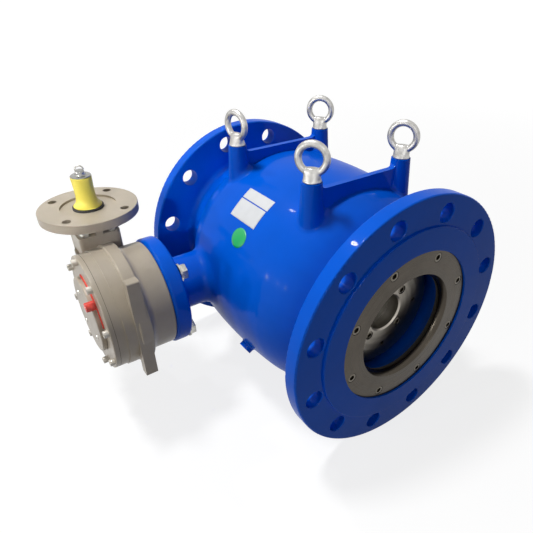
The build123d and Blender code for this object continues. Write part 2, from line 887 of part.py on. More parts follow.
def seal_gland():
    """Gland that carries the shaft's sealing cords, with its plate in the flange's recess."""
    plate_near = mount_face - mount_recess_depth
    plate_far = plate_near + gland_thickness
    gland = drive_rod(plate_near - gland_length(), plate_near, shaft_radius + bush_wall + 3)
    gland = gland + drive_rod(plate_near, plate_far, mount_recess - 0.3)
    gland = gland - drive_rod(outer_bush_near, plate_far, shaft_radius + shaft_clearance)
    for middle, floor, mouth in gland_grooves():
        low, high = sorted((floor, mouth))
        half = shaft_cord / 2 + 0.2
        groove = drive_rod(middle - half, middle + half, high + 0.01)
        gland = gland - (groove - drive_rod(middle - half - 1, middle + half + 1, low - 0.01))
    for x, z in drive_circle(gland_screw_circle, 4, 0):
        gland = gland - rod((x, -plate_near, z), (x, -plate_far, z), gland_screw_size / 2)
    return gland


def shaft_cords():
    """Sealing cords in the gland's grooves."""
    cords = []
    for middle, floor, mouth in gland_grooves():
        ring = Torus((floor + mouth) / 2, shaft_cord / 2 - 0.03)
        cords.append(Pos(drive_x, -middle, 0) * Rot(90, 0, 0) * ring)
    return cords


def gland_screws():
    seat = mount_face - mount_recess_depth + gland_thickness
    return [
        socket_screw((x, -seat, z), (0, -1, 0), gland_screw_size, gland_thickness + 11)
        for x, z in drive_circle(gland_screw_circle, 4, 0)
    ]


def mounting_washers():
    near = boss_end - washer_thickness
    return [
        rod((x, -near, z), (x, -boss_end, z), mount_bolt_size)
        - rod((x, -near + 1, z), (x, -boss_end - 1, z), mount_bolt_size / 2 + 0.5)
        for x, z in drive_circle(mount_circle, 4, 45)
    ]


def mounting_bolts():
    """Hexagon screws through the valve's flange into the gearbox."""
    near = boss_end - washer_thickness
    length = mount_face - near + mount_bolt_size
    return [
        hex_screw((x, -near, z), (0, 1, 0), mount_bolt_size, length)
        for x, z in drive_circle(mount_circle, 4, 45)
    ]


def gearbox_case():
    """Cast case: bell, band and drum about the cross shaft, with the worm's tube and neck."""
    bell = drive_rod(mount_face, bell_end, bell_radius)
    band = drive_rod(bell_end, band_end, band_radius)
    drum = drive_rod(band_end, lip_start, drum_radius)
    case = bell + band + drum + drive_rod(lip_start, drum_end, lip_radius)
    case = round_edges(
        case,
        min(bell_round, 0.9 * (band_radius - bell_radius)),
        lambda edge: edge.radius < band_radius and abs(edge.center().Y + bell_end) < 0.01,
    )
    case = round_edges(
        case,
        case_round,
        lambda edge: edge.radius > band_radius - 0.01 or abs(edge.center().Y + mount_face) < 0.01,
    )
    spigot = drive_rod(mount_face - mount_spigot, mount_face, mount_recess - 0.2)
    spigot = spigot - drive_rod(mount_face - mount_spigot, mount_face, mount_recess - 4.5)
    tube = worm_rod(worm_tube_bottom, neck_block_top - 20, worm_tube_radius)
    neck = neck_block(neck_block_top - 30, neck_block_top)
    pad = block((pad_face - pad_depth, pad_face), pad_range(), (pad_bottom, pad_top))
    pad = fillet(pad.edges().filter_by(Axis.Y), 2)
    case = case + spigot + tube + neck + pad
    cuts = [
        drive_rod(mount_face + case_floor, drum_end + 1, case_cavity),
        drive_rod(mount_face - 1, mount_face + case_floor + 1, journal_radius + shaft_clearance),
        worm_rod(-bearing_near, bearing_near, worm_tip + 1.5),
        worm_rod(worm_tube_bottom - 1, bearing_near + bearing_width, bearing_radius),
        worm_rod(bearing_near, neck_block_top + 1, input_seal_radius),
    ]
    thread_end = mount_face + mount_bolt_size + 1
    for x, z in drive_circle(mount_circle, 4, 45):
        cuts.append(rod((x, -mount_face + 1, z), (x, -thread_end, z), mount_bolt_size / 2))
    for x, z in drive_circle(cover_screw_circle, cover_screw_count, cover_screw_first):
        cuts.append(rod((x, -drum_end + 14, z), (x, -drum_end - 1, z), cover_screw_size / 2))
    for x, y in adapter_screw_points():
        cuts.append(rod((x, y, neck_block_top - 16), (x, y, neck_block_top + 1), adapter_screw_size / 2))
    return case - cuts


def pad_range():
    """Breadth of the upright pad along the cross shaft."""
    return (-pad_middle - pad_width / 2, -pad_middle + pad_width / 2)


def neck_block(low, high):
    """Block about the worm's axis with rounded upright corners."""
    half_length = neck_block_length / 2
    half_width = neck_block_width / 2
    shape = block(
        (worm_x - half_length, worm_x + half_length),
        (-wheel_y - half_width, -wheel_y + half_width),
        (low, high),
    )
    return fillet(shape.edges().filter_by(Axis.Z), 5)


def adapter_screw_points():
    """Places (x, y) of the four screws under the actuator flange."""
    half_length = neck_block_length / 2 - 8
    half_width = neck_block_width / 2 - 8
    return [(worm_x + i * half_length, -wheel_y + j * half_width) for i in (-1, 1) for j in (-1, 1)]


def cover_gasket():
    gasket = drive_rod(drum_end, drum_end + gasket_thickness, cover_radius)
    gasket = gasket - drive_rod(drum_end - 1, drum_end + 1, case_cavity)
    for x, z in drive_circle(cover_screw_circle, cover_screw_count, cover_screw_first):
        gasket = gasket - rod((x, -drum_end + 1, z), (x, -drum_end - 1, z), cover_screw_size / 2)
    return gasket


def gearbox_cover():
    """Round cover with a spot face under each screw."""
    back = drum_end + gasket_thickness
    cover = drive_rod(back, cover_face, cover_radius)
    cover = round_edges(cover, 1.5, lambda edge: abs(edge.center().Y + cover_face) < 0.01)
    cover = cover - drive_rod(back - 1, cover_face + 1, journal_radius + shaft_clearance)
    for x, z in drive_circle(cover_screw_circle, cover_screw_count, cover_screw_first):
        cover = cover - rod((x, -back + 1, z), (x, -cover_face - 1, z), cover_screw_size / 2)
    return cover


def cover_screws():
    length = cover_thickness + gasket_thickness + 13
    return [
        socket_screw((x, -cover_face, z), (0, -1, 0), cover_screw_size, length)
        for x, z in drive_circle(cover_screw_circle, cover_screw_count, cover_screw_first)
    ]


def indicator_disc():
    """Disc that turns with the worm wheel and shows its position."""
    face = indicator_back + indicator_thickness
    disc = drive_rod(indicator_back, face, indicator_radius)
    disc = round_edges(disc, 1.5, lambda edge: abs(edge.center().Y + face) < 0.01)
    disc = disc + drive_rod(wheel_hub_end(), indicator_back, shaft_radius)
    for x, z in drive_circle(indicator_screw_circle, 4, 45):
        disc = disc - rod((x, -indicator_back + 1, z), (x, -face, z), indicator_screw_size / 2)
        disc = disc - rod((x, -face + 3, z), (x, -face - 1, z), 0.75 * indicator_screw_size + 0.3)
    return disc


def indicator_screws():
    seat = indicator_back + indicator_thickness - 3
    return [
        socket_screw((x, -seat, z), (0, -1, 0), indicator_screw_size, 12)
        for x, z in drive_circle(indicator_screw_circle, 4, 45)
    ]


def indicator_ring():
    """Red quarter ring on the cover that the pointer sweeps along."""
    inside = indicator_radius + 1
    near, far = cover_face, cover_face + scale_thickness
    ring = drive_rod(near, far, inside + scale_width) - drive_rod(near - 1, far + 1, inside)
    reach = 2 * inside
    quarter = block((0, reach), (-far - 1, -near + 1), (0, reach))
    return ring & (Pos(drive_x, 0, 0) * Rot(0, -(pointer_angle - closing_turn), 0) * quarter)


def indicator_pointer():
    """Red knob against the rim of the indicator disc."""
    face = indicator_back + indicator_thickness
    x, z = drive_circle(2 * indicator_radius, 1, pointer_angle)[0]
    low = cover_face + scale_thickness + running_gap
    knob = rod((x, -low, z), (x, -face - pointer_height, z), pointer_radius)
    knob = round_edges(knob, 1.2, lambda edge: abs(edge.center().Y + face + pointer_height) < 0.01)
    return knob - drive_rod(low - 1, face, indicator_radius)


def wheel_hub_end():
    """Far end of the wheel's hub, just inside the cover's face."""
    return cover_face - 1.5


def wheel_outline(turn):
    """Toothed outline of the wheel, turned about its axis by an angle in radians."""
    half_pitch = (pi * module - backlash) / 4
    flank = tan(radians(pressure_angle))
    tip = wheel_pitch_radius + module
    root = wheel_pitch_radius - 1.25 * module
    tip_half = (half_pitch - module * flank) / tip
    root_half = (half_pitch + 1.25 * module * flank) / root
    points = []
    for tooth in range(wheel_teeth):
        middle = 2 * pi * (tooth + 0.5) / wheel_teeth - turn
        for radius, offset in ((root, -root_half), (tip, -tip_half), (tip, tip_half), (root, root_half)):
            points.append((radius * cos(middle + offset), radius * sin(middle + offset)))
    return points


def worm_wheel():
    """Bronze wheel with slanted teeth on a hub that runs in the case and the cover."""
    half = wheel_width / 2
    twist = half * lead / (2 * pi * worm_pitch_radius) / wheel_pitch_radius
    faces = []
    for side in (1, -1):
        plane = Plane(origin=(drive_x, -wheel_y + side * half, 0), x_dir=(1, 0, 0), z_dir=(0, -1, 0))
        points = [(x, -z) for x, z in wheel_outline(-side * twist)]
        faces.append(plane * make_face(Polyline(*points, close=True)))
    wheel = loft(faces, ruled=True)
    for near, far in ((wheel_y - half - 1, wheel_y - 6), (wheel_y + 6, wheel_y + half + 1)):
        recess = drive_rod(near, far, wheel_pitch_radius - 10) - drive_rod(near, far, journal_radius + 4)
        wheel = wheel - recess
    wheel = wheel + drive_rod(mount_face + 1, wheel_hub_end(), journal_radius)
    wheel = wheel - extrude(spline_plane() * spline_outline(), drum_end)
    hub_end = wheel_hub_end()
    for x, z in drive_circle(indicator_screw_circle, 4, 45):
        wheel = wheel - rod((x, -hub_end + 10, z), (x, -hub_end - 1, z), indicator_screw_size / 2)
    return wheel


def spline_plane():
    return Plane(origin=(drive_x, 0, 0), x_dir=(1, 0, 0), z_dir=(0, -1, 0))


def spline_outline():
    """Splined outline shared by the coupling sleeve and the wheel's bore."""
    points = []
    for index in range(2 * spline_count):
        radius = spline_tip if index % 2 else spline_tip - spline_depth
        for offset in (-0.28, 0.28):
            angle = pi * (index + offset) / spline_count
            points.append((radius * cos(angle), radius * sin(angle)))
    return make_face(Polyline(*points, close=True))


def coupling_sleeve():
    """Splined sleeve between the shaft and the worm wheel."""
    near = mount_face + 3
    plane = spline_plane().offset(near)
    sleeve = extrude(plane * spline_outline(), shaft_end - near)
    return sleeve - drive_rod(near - 1, shaft_end + 1, shaft_radius) - wheel_key()


def worm_shaft():
    """Worm with its journals and its keyed input end."""
    turns = round(thread_length / lead)
    half = turns * lead / 2
    helix = Helix(lead, 2 * half, worm_pitch_radius, center=(0, 0, -half))
    half_pitch = (pi * module - backlash) / 4
    flank = tan(radians(pressure_angle))
    sunk = 1.25 * module + 0.5
    section = Polyline(
        (-sunk, -half_pitch - sunk * flank),
        (module, -half_pitch + module * flank),
        (module, half_pitch - module * flank),
        (-sunk, half_pitch + sunk * flank),
        close=True,
    )
    start = Plane(origin=helix @ 0, x_dir=(1, 0, 0), z_dir=helix % 0)
    thread = Pos(worm_x, -wheel_y, 0) * sweep(start * make_face(section), path=helix, is_frenet=True)
    shaft = worm_rod(-half - 6, half + 6, worm_root) + thread
    shaft = shaft + worm_rod(-bearing_near + 0.2, bearing_near - 0.2, worm_journal + 2.5)
    journal = worm_journal - shaft_clearance
    shaft = shaft + worm_rod(-bearing_near - bearing_width, bearing_near + bearing_width, journal)
    shaft = shaft + worm_rod(bearing_near, sleeve_top - 4, input_radius)
    keyway = block(
        (worm_x - 3, worm_x + 3),
        (-wheel_y - input_radius - 1, -wheel_y - input_radius + 3.5),
        (input_face + 4, sleeve_top - 8),
    )
    return shaft - keyway


def worm_bearing(low):
    """Plain bearing for one of the worm's journals."""
    high = low + bearing_width
    return worm_rod(low, high, bearing_radius) - worm_rod(low, high, worm_journal)


def input_seal():
    """Lip seal above the upper bearing."""
    low = bearing_near + bearing_width
    return worm_rod(low, neck_block_top - 1, input_seal_radius) - worm_rod(
        low - 1, neck_block_top, input_radius + shaft_clearance
    )


def worm_end_cap():
    """Cap that closes the worm's tube from below."""
    flange = worm_rod(worm_tube_bottom - 5, worm_tube_bottom, worm_tube_radius - 2)
    flange = round_edges(flange, 1.5, lambda edge: edge.center().Z < worm_tube_bottom - 4.9)
    return flange + worm_rod(worm_tube_bottom, -bearing_near - bearing_width, bearing_radius - 0.1)


def input_flange():
    """Adapter for the actuator: base, ribs with windows between them, and the drilled flange."""
    low = neck_block_top
    adapter = neck_block(low, low + adapter_base)
    plate_low = input_face - input_flange_thickness
    plate = worm_rod(plate_low, input_face, input_flange_radius)
    plate = round_edges(plate, 1.0, lambda edge: True)
    reach_x, reach_y, half = neck_block_length / 2, neck_block_width / 2, window_rib / 2
    heights = (low, plate_low)
    ribs_across = [
        block((worm_x - reach_x, worm_x + reach_x), (-wheel_y - half, -wheel_y + half), heights),
        block((worm_x - half, worm_x + half), (-wheel_y - reach_y, -wheel_y + reach_y), heights),
    ]
    hub = worm_rod(window_top, plate_low, input_recess_radius - 5)
    column = worm_rod(low, plate_low, input_seal_radius - 2)
    adapter = adapter + [plate, hub, column, *ribs_across]
    adapter = adapter - worm_rod(low - 1, input_face + 1, input_radius + 2)
    adapter = adapter - worm_rod(input_face - input_recess_depth, input_face + 1, input_recess_radius)
    for turn in (45, 135, 225, 315):
        x = worm_x + input_circle / 2 * cos(radians(turn))
        y = -wheel_y + input_circle / 2 * sin(radians(turn))
        adapter = adapter - rod((x, y, plate_low - 1), (x, y, input_face + 1), input_hole / 2)
    for x, y in adapter_screw_points():
        adapter = adapter - rod((x, y, low - 1), (x, y, low + adapter_base + 1), adapter_screw_size / 2)
    return adapter


def adapter_screws():
    seat = neck_block_top + adapter_base
    return [
        hex_screw((x, y, seat), (0, 0, 1), adapter_screw_size, adapter_base + 15)
        for x, y in adapter_screw_points()
    ]


def dust_ring():
    """Black ring lying in the flange's recess under the sleeve."""
    low = input_face - input_recess_depth
    ring = worm_rod(low, low + dust_ring_height, dust_ring_radius)
    return ring - worm_rod(low - 1, low + 3, input_radius + 2)


def shaft_sleeve():
    """Shipping sleeve over the input shaft: a flared foot and a slim straight body."""
    low = input_face - input_recess_depth + dust_ring_height + running_gap
    bore = input_radius + sleeve_clearance
    outline = Curve() + [
        Polyline((sleeve_waist, low + 14), (sleeve_waist, sleeve_top - 14), (sleeve_head, sleeve_top - 8)),
        Polyline((sleeve_head, sleeve_top - 8), (sleeve_head, sleeve_top), (bore, sleeve_top), (bore, low)),
        Polyline((bore, low), (sleeve_foot, low), (sleeve_foot, low + 2)),
        ThreePointArc((sleeve_foot, low + 2), (sleeve_waist + 1.6, low + 6), (sleeve_waist, low + 14)),
    ]
    plane = Plane(origin=(worm_x, -wheel_y, 0), x_dir=(1, 0, 0), z_dir=(0, -1, 0))
    return revolve(plane * make_face(outline), Axis((worm_x, -wheel_y, 0), (0, 0, 1)))


def sleeve_cap():
    """Bright cap on the sleeve: a flat rim and a tapered knob."""
    low = sleeve_top + cap_thickness
    rim = worm_rod(sleeve_top, low, sleeve_head + 0.4)
    knob = Cone(cap_knob_radius, cap_knob_radius - 1.4, cap_knob_height)
    return rim + Pos(worm_x, -wheel_y, low + cap_knob_height / 2) * knob


def cap_clip():
    """Wire bail that stands over the cap's knob."""
    foot = sleeve_top + cap_thickness + cap_knob_height
    ring = Rot(0, 0, 80) * Rot(90, 0, 0) * Torus(clip_radius - clip_wire, clip_wire)
    ring = Pos(worm_x, -wheel_y, foot) * ring
    return ring - worm_rod(foot - 2 * clip_radius, foot, 2 * clip_radius)


def nodes():
    """Every piece by the name of its file."""
    return {
        "valve_body": valve_body(),
        "inlet_flange": flange_ring(raised_height),
        "outlet_flange": flange_ring(face_to_face - raised_height - flange_thickness),
        "flow_guide": flow_guide(),
        "seat_ring": seat_ring(),
        "seat_seal": seat_seal(),
        "seat_ring_cord": seat_ring_cord(),
        "seat_ring_screws": seat_screws(),
        "plunger_cylinder": plunger_cylinder(),
        "plunger_disc": plunger_disc(),
        "plunger_disc_screws": plunger_disc_screws(),
        "plunger_guide_rings": guide_rings(),
        "plunger_yoke": yoke(),
        "yoke_screws": yoke_screws(),
        "slide_block": slide_block(),
        "block_bush": block_bush(),
        "crank_arm": crank_arm(),
        "crank_pin": crank_pin(),
        "crank_key": crank_key(),
        "pin_washer": pin_washer(),
        "pin_screw": pin_screw(),
        "drive_shaft": drive_shaft(),
        "inner_bush": inner_bush(),
        "outer_bush": outer_bush(),
        "seal_gland": seal_gland(),
        "shaft_cords": shaft_cords(),
        "gland_screws": gland_screws(),
        "drain_plug": drain_plug(),
        "eye_bolts": eye_bolts(),
        "mounting_washers": mounting_washers(),
        "mounting_bolts": mounting_bolts(),
        "gearbox_case": gearbox_case(),
        "cover_gasket": cover_gasket(),
        "gearbox_cover": gearbox_cover(),
        "cover_screws": cover_screws(),
        "indicator_disc": indicator_disc(),
        "indicator_screws": indicator_screws(),
        "indicator_ring": indicator_ring(),
        "indicator_pointer": indicator_pointer(),
        "worm_wheel": worm_wheel(),
        "coupling_sleeve": coupling_sleeve(),
        "wheel_key": wheel_key(),
        "worm_shaft": worm_shaft(),
        "worm_bearing_lower": worm_bearing(-bearing_near - bearing_width),
        "worm_bearing_upper": worm_bearing(bearing_near),
        "input_seal": input_seal(),
        "worm_end_cap": worm_end_cap(),
        "input_flange": input_flange(),
        "adapter_screws": adapter_screws(),
        "dust_ring": dust_ring(),
        "shaft_sleeve": shaft_sleeve(),
        "sleeve_cap": sleeve_cap(),
        "cap_clip": cap_clip(),
    }


os.makedirs("parts", exist_ok=True)
for name, shape in nodes().items():
    if isinstance(shape, list):
        shape = Compound([solid for piece in shape for solid in piece.solids()])
    export_step(shape, f"parts/{name}.step")
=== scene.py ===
"""Looks of the annular flow valve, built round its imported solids.

Lengths are in metres, in the frame of the solids: +X with the flow, +Z up, and the gearbox
stands out towards -Y. Sizes given in millimetres are multiplied by MM.
"""

import logging
import math
from collections.abc import Callable, Sequence
from dataclasses import dataclass, field
from enum import Enum

import bmesh
import bpy
from mathutils import Matrix, Vector

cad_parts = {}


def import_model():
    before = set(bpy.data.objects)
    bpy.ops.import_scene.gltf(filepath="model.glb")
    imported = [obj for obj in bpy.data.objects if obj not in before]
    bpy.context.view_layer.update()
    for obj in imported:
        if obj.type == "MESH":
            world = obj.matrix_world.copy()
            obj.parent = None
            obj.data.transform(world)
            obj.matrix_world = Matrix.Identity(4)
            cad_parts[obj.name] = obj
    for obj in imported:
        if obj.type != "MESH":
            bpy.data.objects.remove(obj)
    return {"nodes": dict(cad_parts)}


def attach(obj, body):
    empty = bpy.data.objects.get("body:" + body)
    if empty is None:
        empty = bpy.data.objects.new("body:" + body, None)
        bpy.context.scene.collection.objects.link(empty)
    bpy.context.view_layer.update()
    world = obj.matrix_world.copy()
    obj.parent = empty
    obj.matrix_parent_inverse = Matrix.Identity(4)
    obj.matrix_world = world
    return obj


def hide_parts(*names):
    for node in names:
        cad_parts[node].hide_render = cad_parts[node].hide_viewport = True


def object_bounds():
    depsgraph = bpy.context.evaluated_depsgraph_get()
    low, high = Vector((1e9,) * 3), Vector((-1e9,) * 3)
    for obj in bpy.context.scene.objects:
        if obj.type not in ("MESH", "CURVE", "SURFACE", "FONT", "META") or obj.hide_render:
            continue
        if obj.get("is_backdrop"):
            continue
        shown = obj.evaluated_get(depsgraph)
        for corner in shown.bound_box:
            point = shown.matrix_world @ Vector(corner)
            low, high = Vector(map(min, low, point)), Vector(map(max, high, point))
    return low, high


MM = 0.001
Colour = tuple[float, float, float, float]
WHITE: Colour = (1.0, 1.0, 1.0, 1.0)
Node = bpy.types.Node
Socket = bpy.types.NodeSocket
Wire = Socket | float | tuple[float, ...]
Feeds = dict[str | int, Wire]
Piece = bpy.types.Object
Vert = bmesh.types.BMVert
Edge = bmesh.types.BMEdge
Element = Vert | Edge | bmesh.types.BMFace

log = logging.getLogger("annular_flow_valve")


def tint(red: int, green: int, blue: int) -> Colour:
    """Linear colour of a paint named by its display values, each from 0 to 255."""
    levels = [value / 255 for value in (red, green, blue)]
    linear = [
        ((level + 0.055) / 1.055) ** 2.4 if level > 0.04 else level / 12.92 for level in levels
    ]
    return (linear[0], linear[1], linear[2], 1.0)


class Spin(Enum):
    """Axes that turned surfaces were spun about, as a centre and the turn that brings X to them."""

    FLOW = ((0.0, 0.0, 0.0), (0.0, 0.0, 0.0))
    DRIVE = ((126 * MM, 0.0, 0.0), (0.0, 0.0, math.radians(90)))
    WORM = ((46 * MM, -261 * MM, 0.0), (0.0, math.radians(-90), 0.0))


class Head(Enum):
    """Forms of screw head."""

    SOCKET = "socket"
    HEXAGON = "hexagon"


@dataclass
class Wiring:
    """A node tree while its nodes are being joined.

    Attributes:
        tree: The tree.
    """

    tree: bpy.types.NodeTree

    def add(self, kind: str, feeds: Feeds | None = None, **settings: object) -> Node:
        """Adds a node.

        Args:
            kind: The node's type.
            feeds: What goes into its inputs, a socket to link or a plain value.
            **settings: The node's own properties.

        Returns:
            The node.
        """
        node = self.tree.nodes.new(kind)
        for name, value in settings.items():
            setattr(node, name, value)
        self.feed(node, feeds or {})
        return node

    def feed(self, node: Node, feeds: Feeds) -> None:
        """Fills a node's inputs.

        Args:
            node: The node.
            feeds: For each input, a socket to link to it or a plain value.
        """
        for key, value in feeds.items():
            if isinstance(value, Socket):
                self.tree.links.new(value, node.inputs[key])
            else:
                node.inputs[key].default_value = value

    def math(self, operation: str, first: Wire, second: Wire = 0.0) -> Socket:
        """Output of a Math node."""
        return self.add("ShaderNodeMath", {0: first, 1: second}, operation=operation).outputs[0]

    def vector(self, operation: str, first: Wire, second: Wire = (0.0, 0.0, 0.0)) -> Socket:
        """Vector that comes out of a Vector Math node."""
        node = self.add("ShaderNodeVectorMath", {0: first, 1: second}, operation=operation)
        return node.outputs["Vector"]

    def noise(self, vector: Wire, scale: Wire, detail: float, roughness: float) -> Socket:
        """Value of a noise texture."""
        feeds = {"Vector": vector, "Scale": scale, "Detail": detail, "Roughness": roughness}
        return self.add("ShaderNodeTexNoise", feeds).outputs["Fac"]

    def span(
        self, value: Wire, low: float, high: float, to_low: float = 0.0, to_high: float = 1.0
    ) -> Socket:
        """Value spread from one range to another and kept inside it."""
        ranges = {"From Min": low, "From Max": high, "To Min": to_low, "To Max": to_high}
        node = self.add("ShaderNodeMapRange", {"Value": value, **ranges}, clamp=True)
        return node.outputs["Result"]

    def blend(self, share: Wire, first: Wire, second: Wire) -> Socket:
        """Colour between two colours, by the second one's share."""
        node = self.add("ShaderNodeMix", {0: share, 6: first, 7: second}, data_type="RGBA")
        return node.outputs[2]

    def bump(self, height: Wire, strength: float, depth: float, over: Wire | None = None) -> Socket:
        """Normal raised by a height.

        Args:
            height: The height, from 0 to 1.
            strength: Share of the effect.
            depth: Depth of the relief in metres.
            over: Another normal that it is laid over.

        Returns:
            The normal.
        """
        feeds = {"Height": height, "Strength": strength, "Distance": depth}
        if over is not None:
            feeds["Normal"] = over
        return self.add("ShaderNodeBump", feeds).outputs["Normal"]

    def object_place(self, spin: Spin = Spin.FLOW) -> Socket:
        """Object coordinates seen from a spin axis, which becomes X."""
        place = self.add("ShaderNodeTexCoord").outputs["Object"]
        centre, turn = spin.value
        feeds = {"Vector": place, "Location": centre, "Rotation": turn}
        return self.add("ShaderNodeMapping", feeds, vector_type="TEXTURE").outputs["Vector"]

    def seen_plainly(self) -> Socket:
        """One for the camera, glossy and transmission rays, which see plain white."""
        rays = self.add("ShaderNodeLightPath").outputs
        seen = self.math("MAXIMUM", rays["Is Camera Ray"], rays["Is Glossy Ray"])
        return self.math("MAXIMUM", seen, rays["Is Transmission Ray"])


@dataclass(frozen=True)
class Effect:
    """A shader node group that several finishes share.

    Attributes:
        name: Name of the group.
        inputs: Names of its number inputs with their usual values; it also has a Vector input.
        outputs: Names of its number outputs.
        wire: Joins the group's nodes, from the group's input sockets to a value for each output.
    """

    name: str
    inputs: dict[str, float]
    outputs: tuple[str, ...]
    wire: Callable[[Wiring, Node], Sequence[Socket]]

    def group(self) -> bpy.types.NodeTree:
        """Makes the node group the first time it is asked for.

        Returns:
            The group.
        """
        made = bpy.data.node_groups.get(self.name)
        if made is not None:
            return made
        made = bpy.data.node_groups.new(self.name, "ShaderNodeTree")
        made.interface.new_socket("Vector", in_out="INPUT", socket_type="NodeSocketVector")
        for name, usual in self.inputs.items():
            number = made.interface.new_socket(name, in_out="INPUT", socket_type="NodeSocketFloat")
            number.default_value = usual
        for name in self.outputs:
            made.interface.new_socket(name, in_out="OUTPUT", socket_type="NodeSocketFloat")
        wiring = Wiring(made)
        start = wiring.add("NodeGroupInput")
        end = wiring.add("NodeGroupOutput")
        for index, value in enumerate(self.wire(wiring, start)):
            made.links.new(value, end.inputs[index])
        return made

    def place(self, wiring: Wiring, vector: Wire, **values: float) -> Node:
        """Puts the group in a material.

        Args:
            wiring: The material's tree.
            vector: Coordinates that the pattern follows.
            **values: Values of the group's number inputs.

        Returns:
            The group's node.
        """
        return wiring.add("ShaderNodeGroup", {"Vector": vector, **values}, node_tree=self.group())


def wire_cast_skin(wiring: Wiring, start: Node) -> list[Socket]:
    """Slow waves of a sand casting, and the grain of the paint on it.

    Args:
        wiring: The group's tree.
        start: The group's input node.

    Returns:
        Waves, grain and cloud.
    """
    vector = start.outputs["Vector"]
    waves = wiring.noise(vector, start.outputs["Waves"], 1.0, 0.4)
    grain = wiring.noise(vector, start.outputs["Grain"], 2.0, 0.6)
    cloud = wiring.noise(vector, wiring.math("MULTIPLY", start.outputs["Waves"], 0.37), 3.0, 0.6)
    return [waves, grain, cloud]


def wire_turning(wiring: Wiring, start: Node) -> list[Socket]:
    """Rings that a lathe tool leaves round X, on faces and on round walls.

    Args:
        wiring: The group's tree.
        start: The group's input node.

    Returns:
        Fine rings and broad bands.
    """
    parts = wiring.add("ShaderNodeSeparateXYZ", {0: start.outputs["Vector"]})
    squares = [wiring.math("POWER", parts.outputs[index], 2.0) for index in (1, 2)]
    radius = wiring.math("SQRT", wiring.math("ADD", squares[0], squares[1]))
    place = wiring.add("ShaderNodeCombineXYZ", {0: radius, 1: parts.outputs[0]}).outputs[0]
    fine = wiring.noise(place, start.outputs["Pitch"], 2.0, 0.7)
    broad = wiring.noise(place, wiring.math("MULTIPLY", start.outputs["Pitch"], 0.08), 2.0, 0.6)
    return [fine, broad]


def wire_handling(wiring: Wiring, start: Node) -> list[Socket]:
    """Smudges from hands and rags, and thin scuffs in two directions.

    Args:
        wiring: The group's tree.
        start: The group's input node.

    Returns:
        Smudges and scuffs.
    """
    vector = start.outputs["Vector"]
    size = start.outputs["Size"]
    smudge = wiring.span(wiring.noise(vector, size, 4.0, 0.65), 0.42, 0.72)
    scuffs = []
    for turn, squeeze in (((0.4, 0.9, 0.2), (1.0, 18.0, 1.0)), ((1.1, 0.3, 1.7), (14.0, 1.0, 1.0))):
        feeds = {"Vector": vector, "Rotation": turn, "Scale": squeeze}
        drawn_out = wiring.add("ShaderNodeMapping", feeds).outputs[0]
        lines = wiring.noise(drawn_out, wiring.math("MULTIPLY", size, 2.0), 3.0, 0.5)
        scuffs.append(wiring.span(lines, 0.66, 0.72))
    return [smudge, wiring.math("MAXIMUM", scuffs[0], scuffs[1])]


SKIN_SIZES = {"Waves": 40.0, "Grain": 900.0}
CAST_SKIN = Effect("cast_skin", SKIN_SIZES, ("Waves", "Grain", "Cloud"), wire_cast_skin)
TURNING = Effect("turning_rings", {"Pitch": 3000.0}, ("Rings", "Bands"), wire_turning)
HANDLING = Effect("handling_marks", {"Size": 20.0}, ("Smudge", "Scuff"), wire_handling)


@dataclass(frozen=True)
class Finish:
    """What every finish has.

    Attributes:
        name: Name of its material.
        colour: Its colour where it is clean and full.
        roughness: Its roughness where it is clean.
        metallic: One for bare metal.
        specular: Strength of its own gloss.
        coat: Weight of a clear coat over it.
        coat_roughness: Roughness of the coat.
    """

    name: str
    colour: Colour
    roughness: float = 0.4
    metallic: float = 0.0
    specular: float = 0.5
    coat: float = 0.0
    coat_roughness: float = 0.05

    def material(self) -> bpy.types.Material:
        """Makes the finish's material the first time it is asked for.

        Returns:
            The material.
        """
        made = bpy.data.materials.get(self.name)
        if made is not None:
            return made
        made = bpy.data.materials.new(self.name)
        made.use_nodes = True
        wiring = Wiring(made.node_tree)
        surface = made.node_tree.nodes["Principled BSDF"]
        constants = {
            "Base Color": self.colour,
            "Roughness": self.roughness,
            "Metallic": self.metallic,
            "Specular IOR Level": self.specular,
            "Coat Weight": self.coat,
            "Coat Roughness": self.coat_roughness,
        }
        wiring.feed(surface, constants)
        self.detail(wiring, surface)
        return made

    def shade(self, share: float) -> Colour:
        """The finish's colour, darker where share is under one."""
        return (self.colour[0] * share, self.colour[1] * share, self.colour[2] * share, 1.0)

    def detail(self, wiring: Wiring, surface: Node) -> None:
        """Joins the finish's pattern to its surface; each kind of finish says how.

        Args:
            wiring: The material's tree.
            surface: The material's shader.
        """
        raise NotImplementedError(self.name)


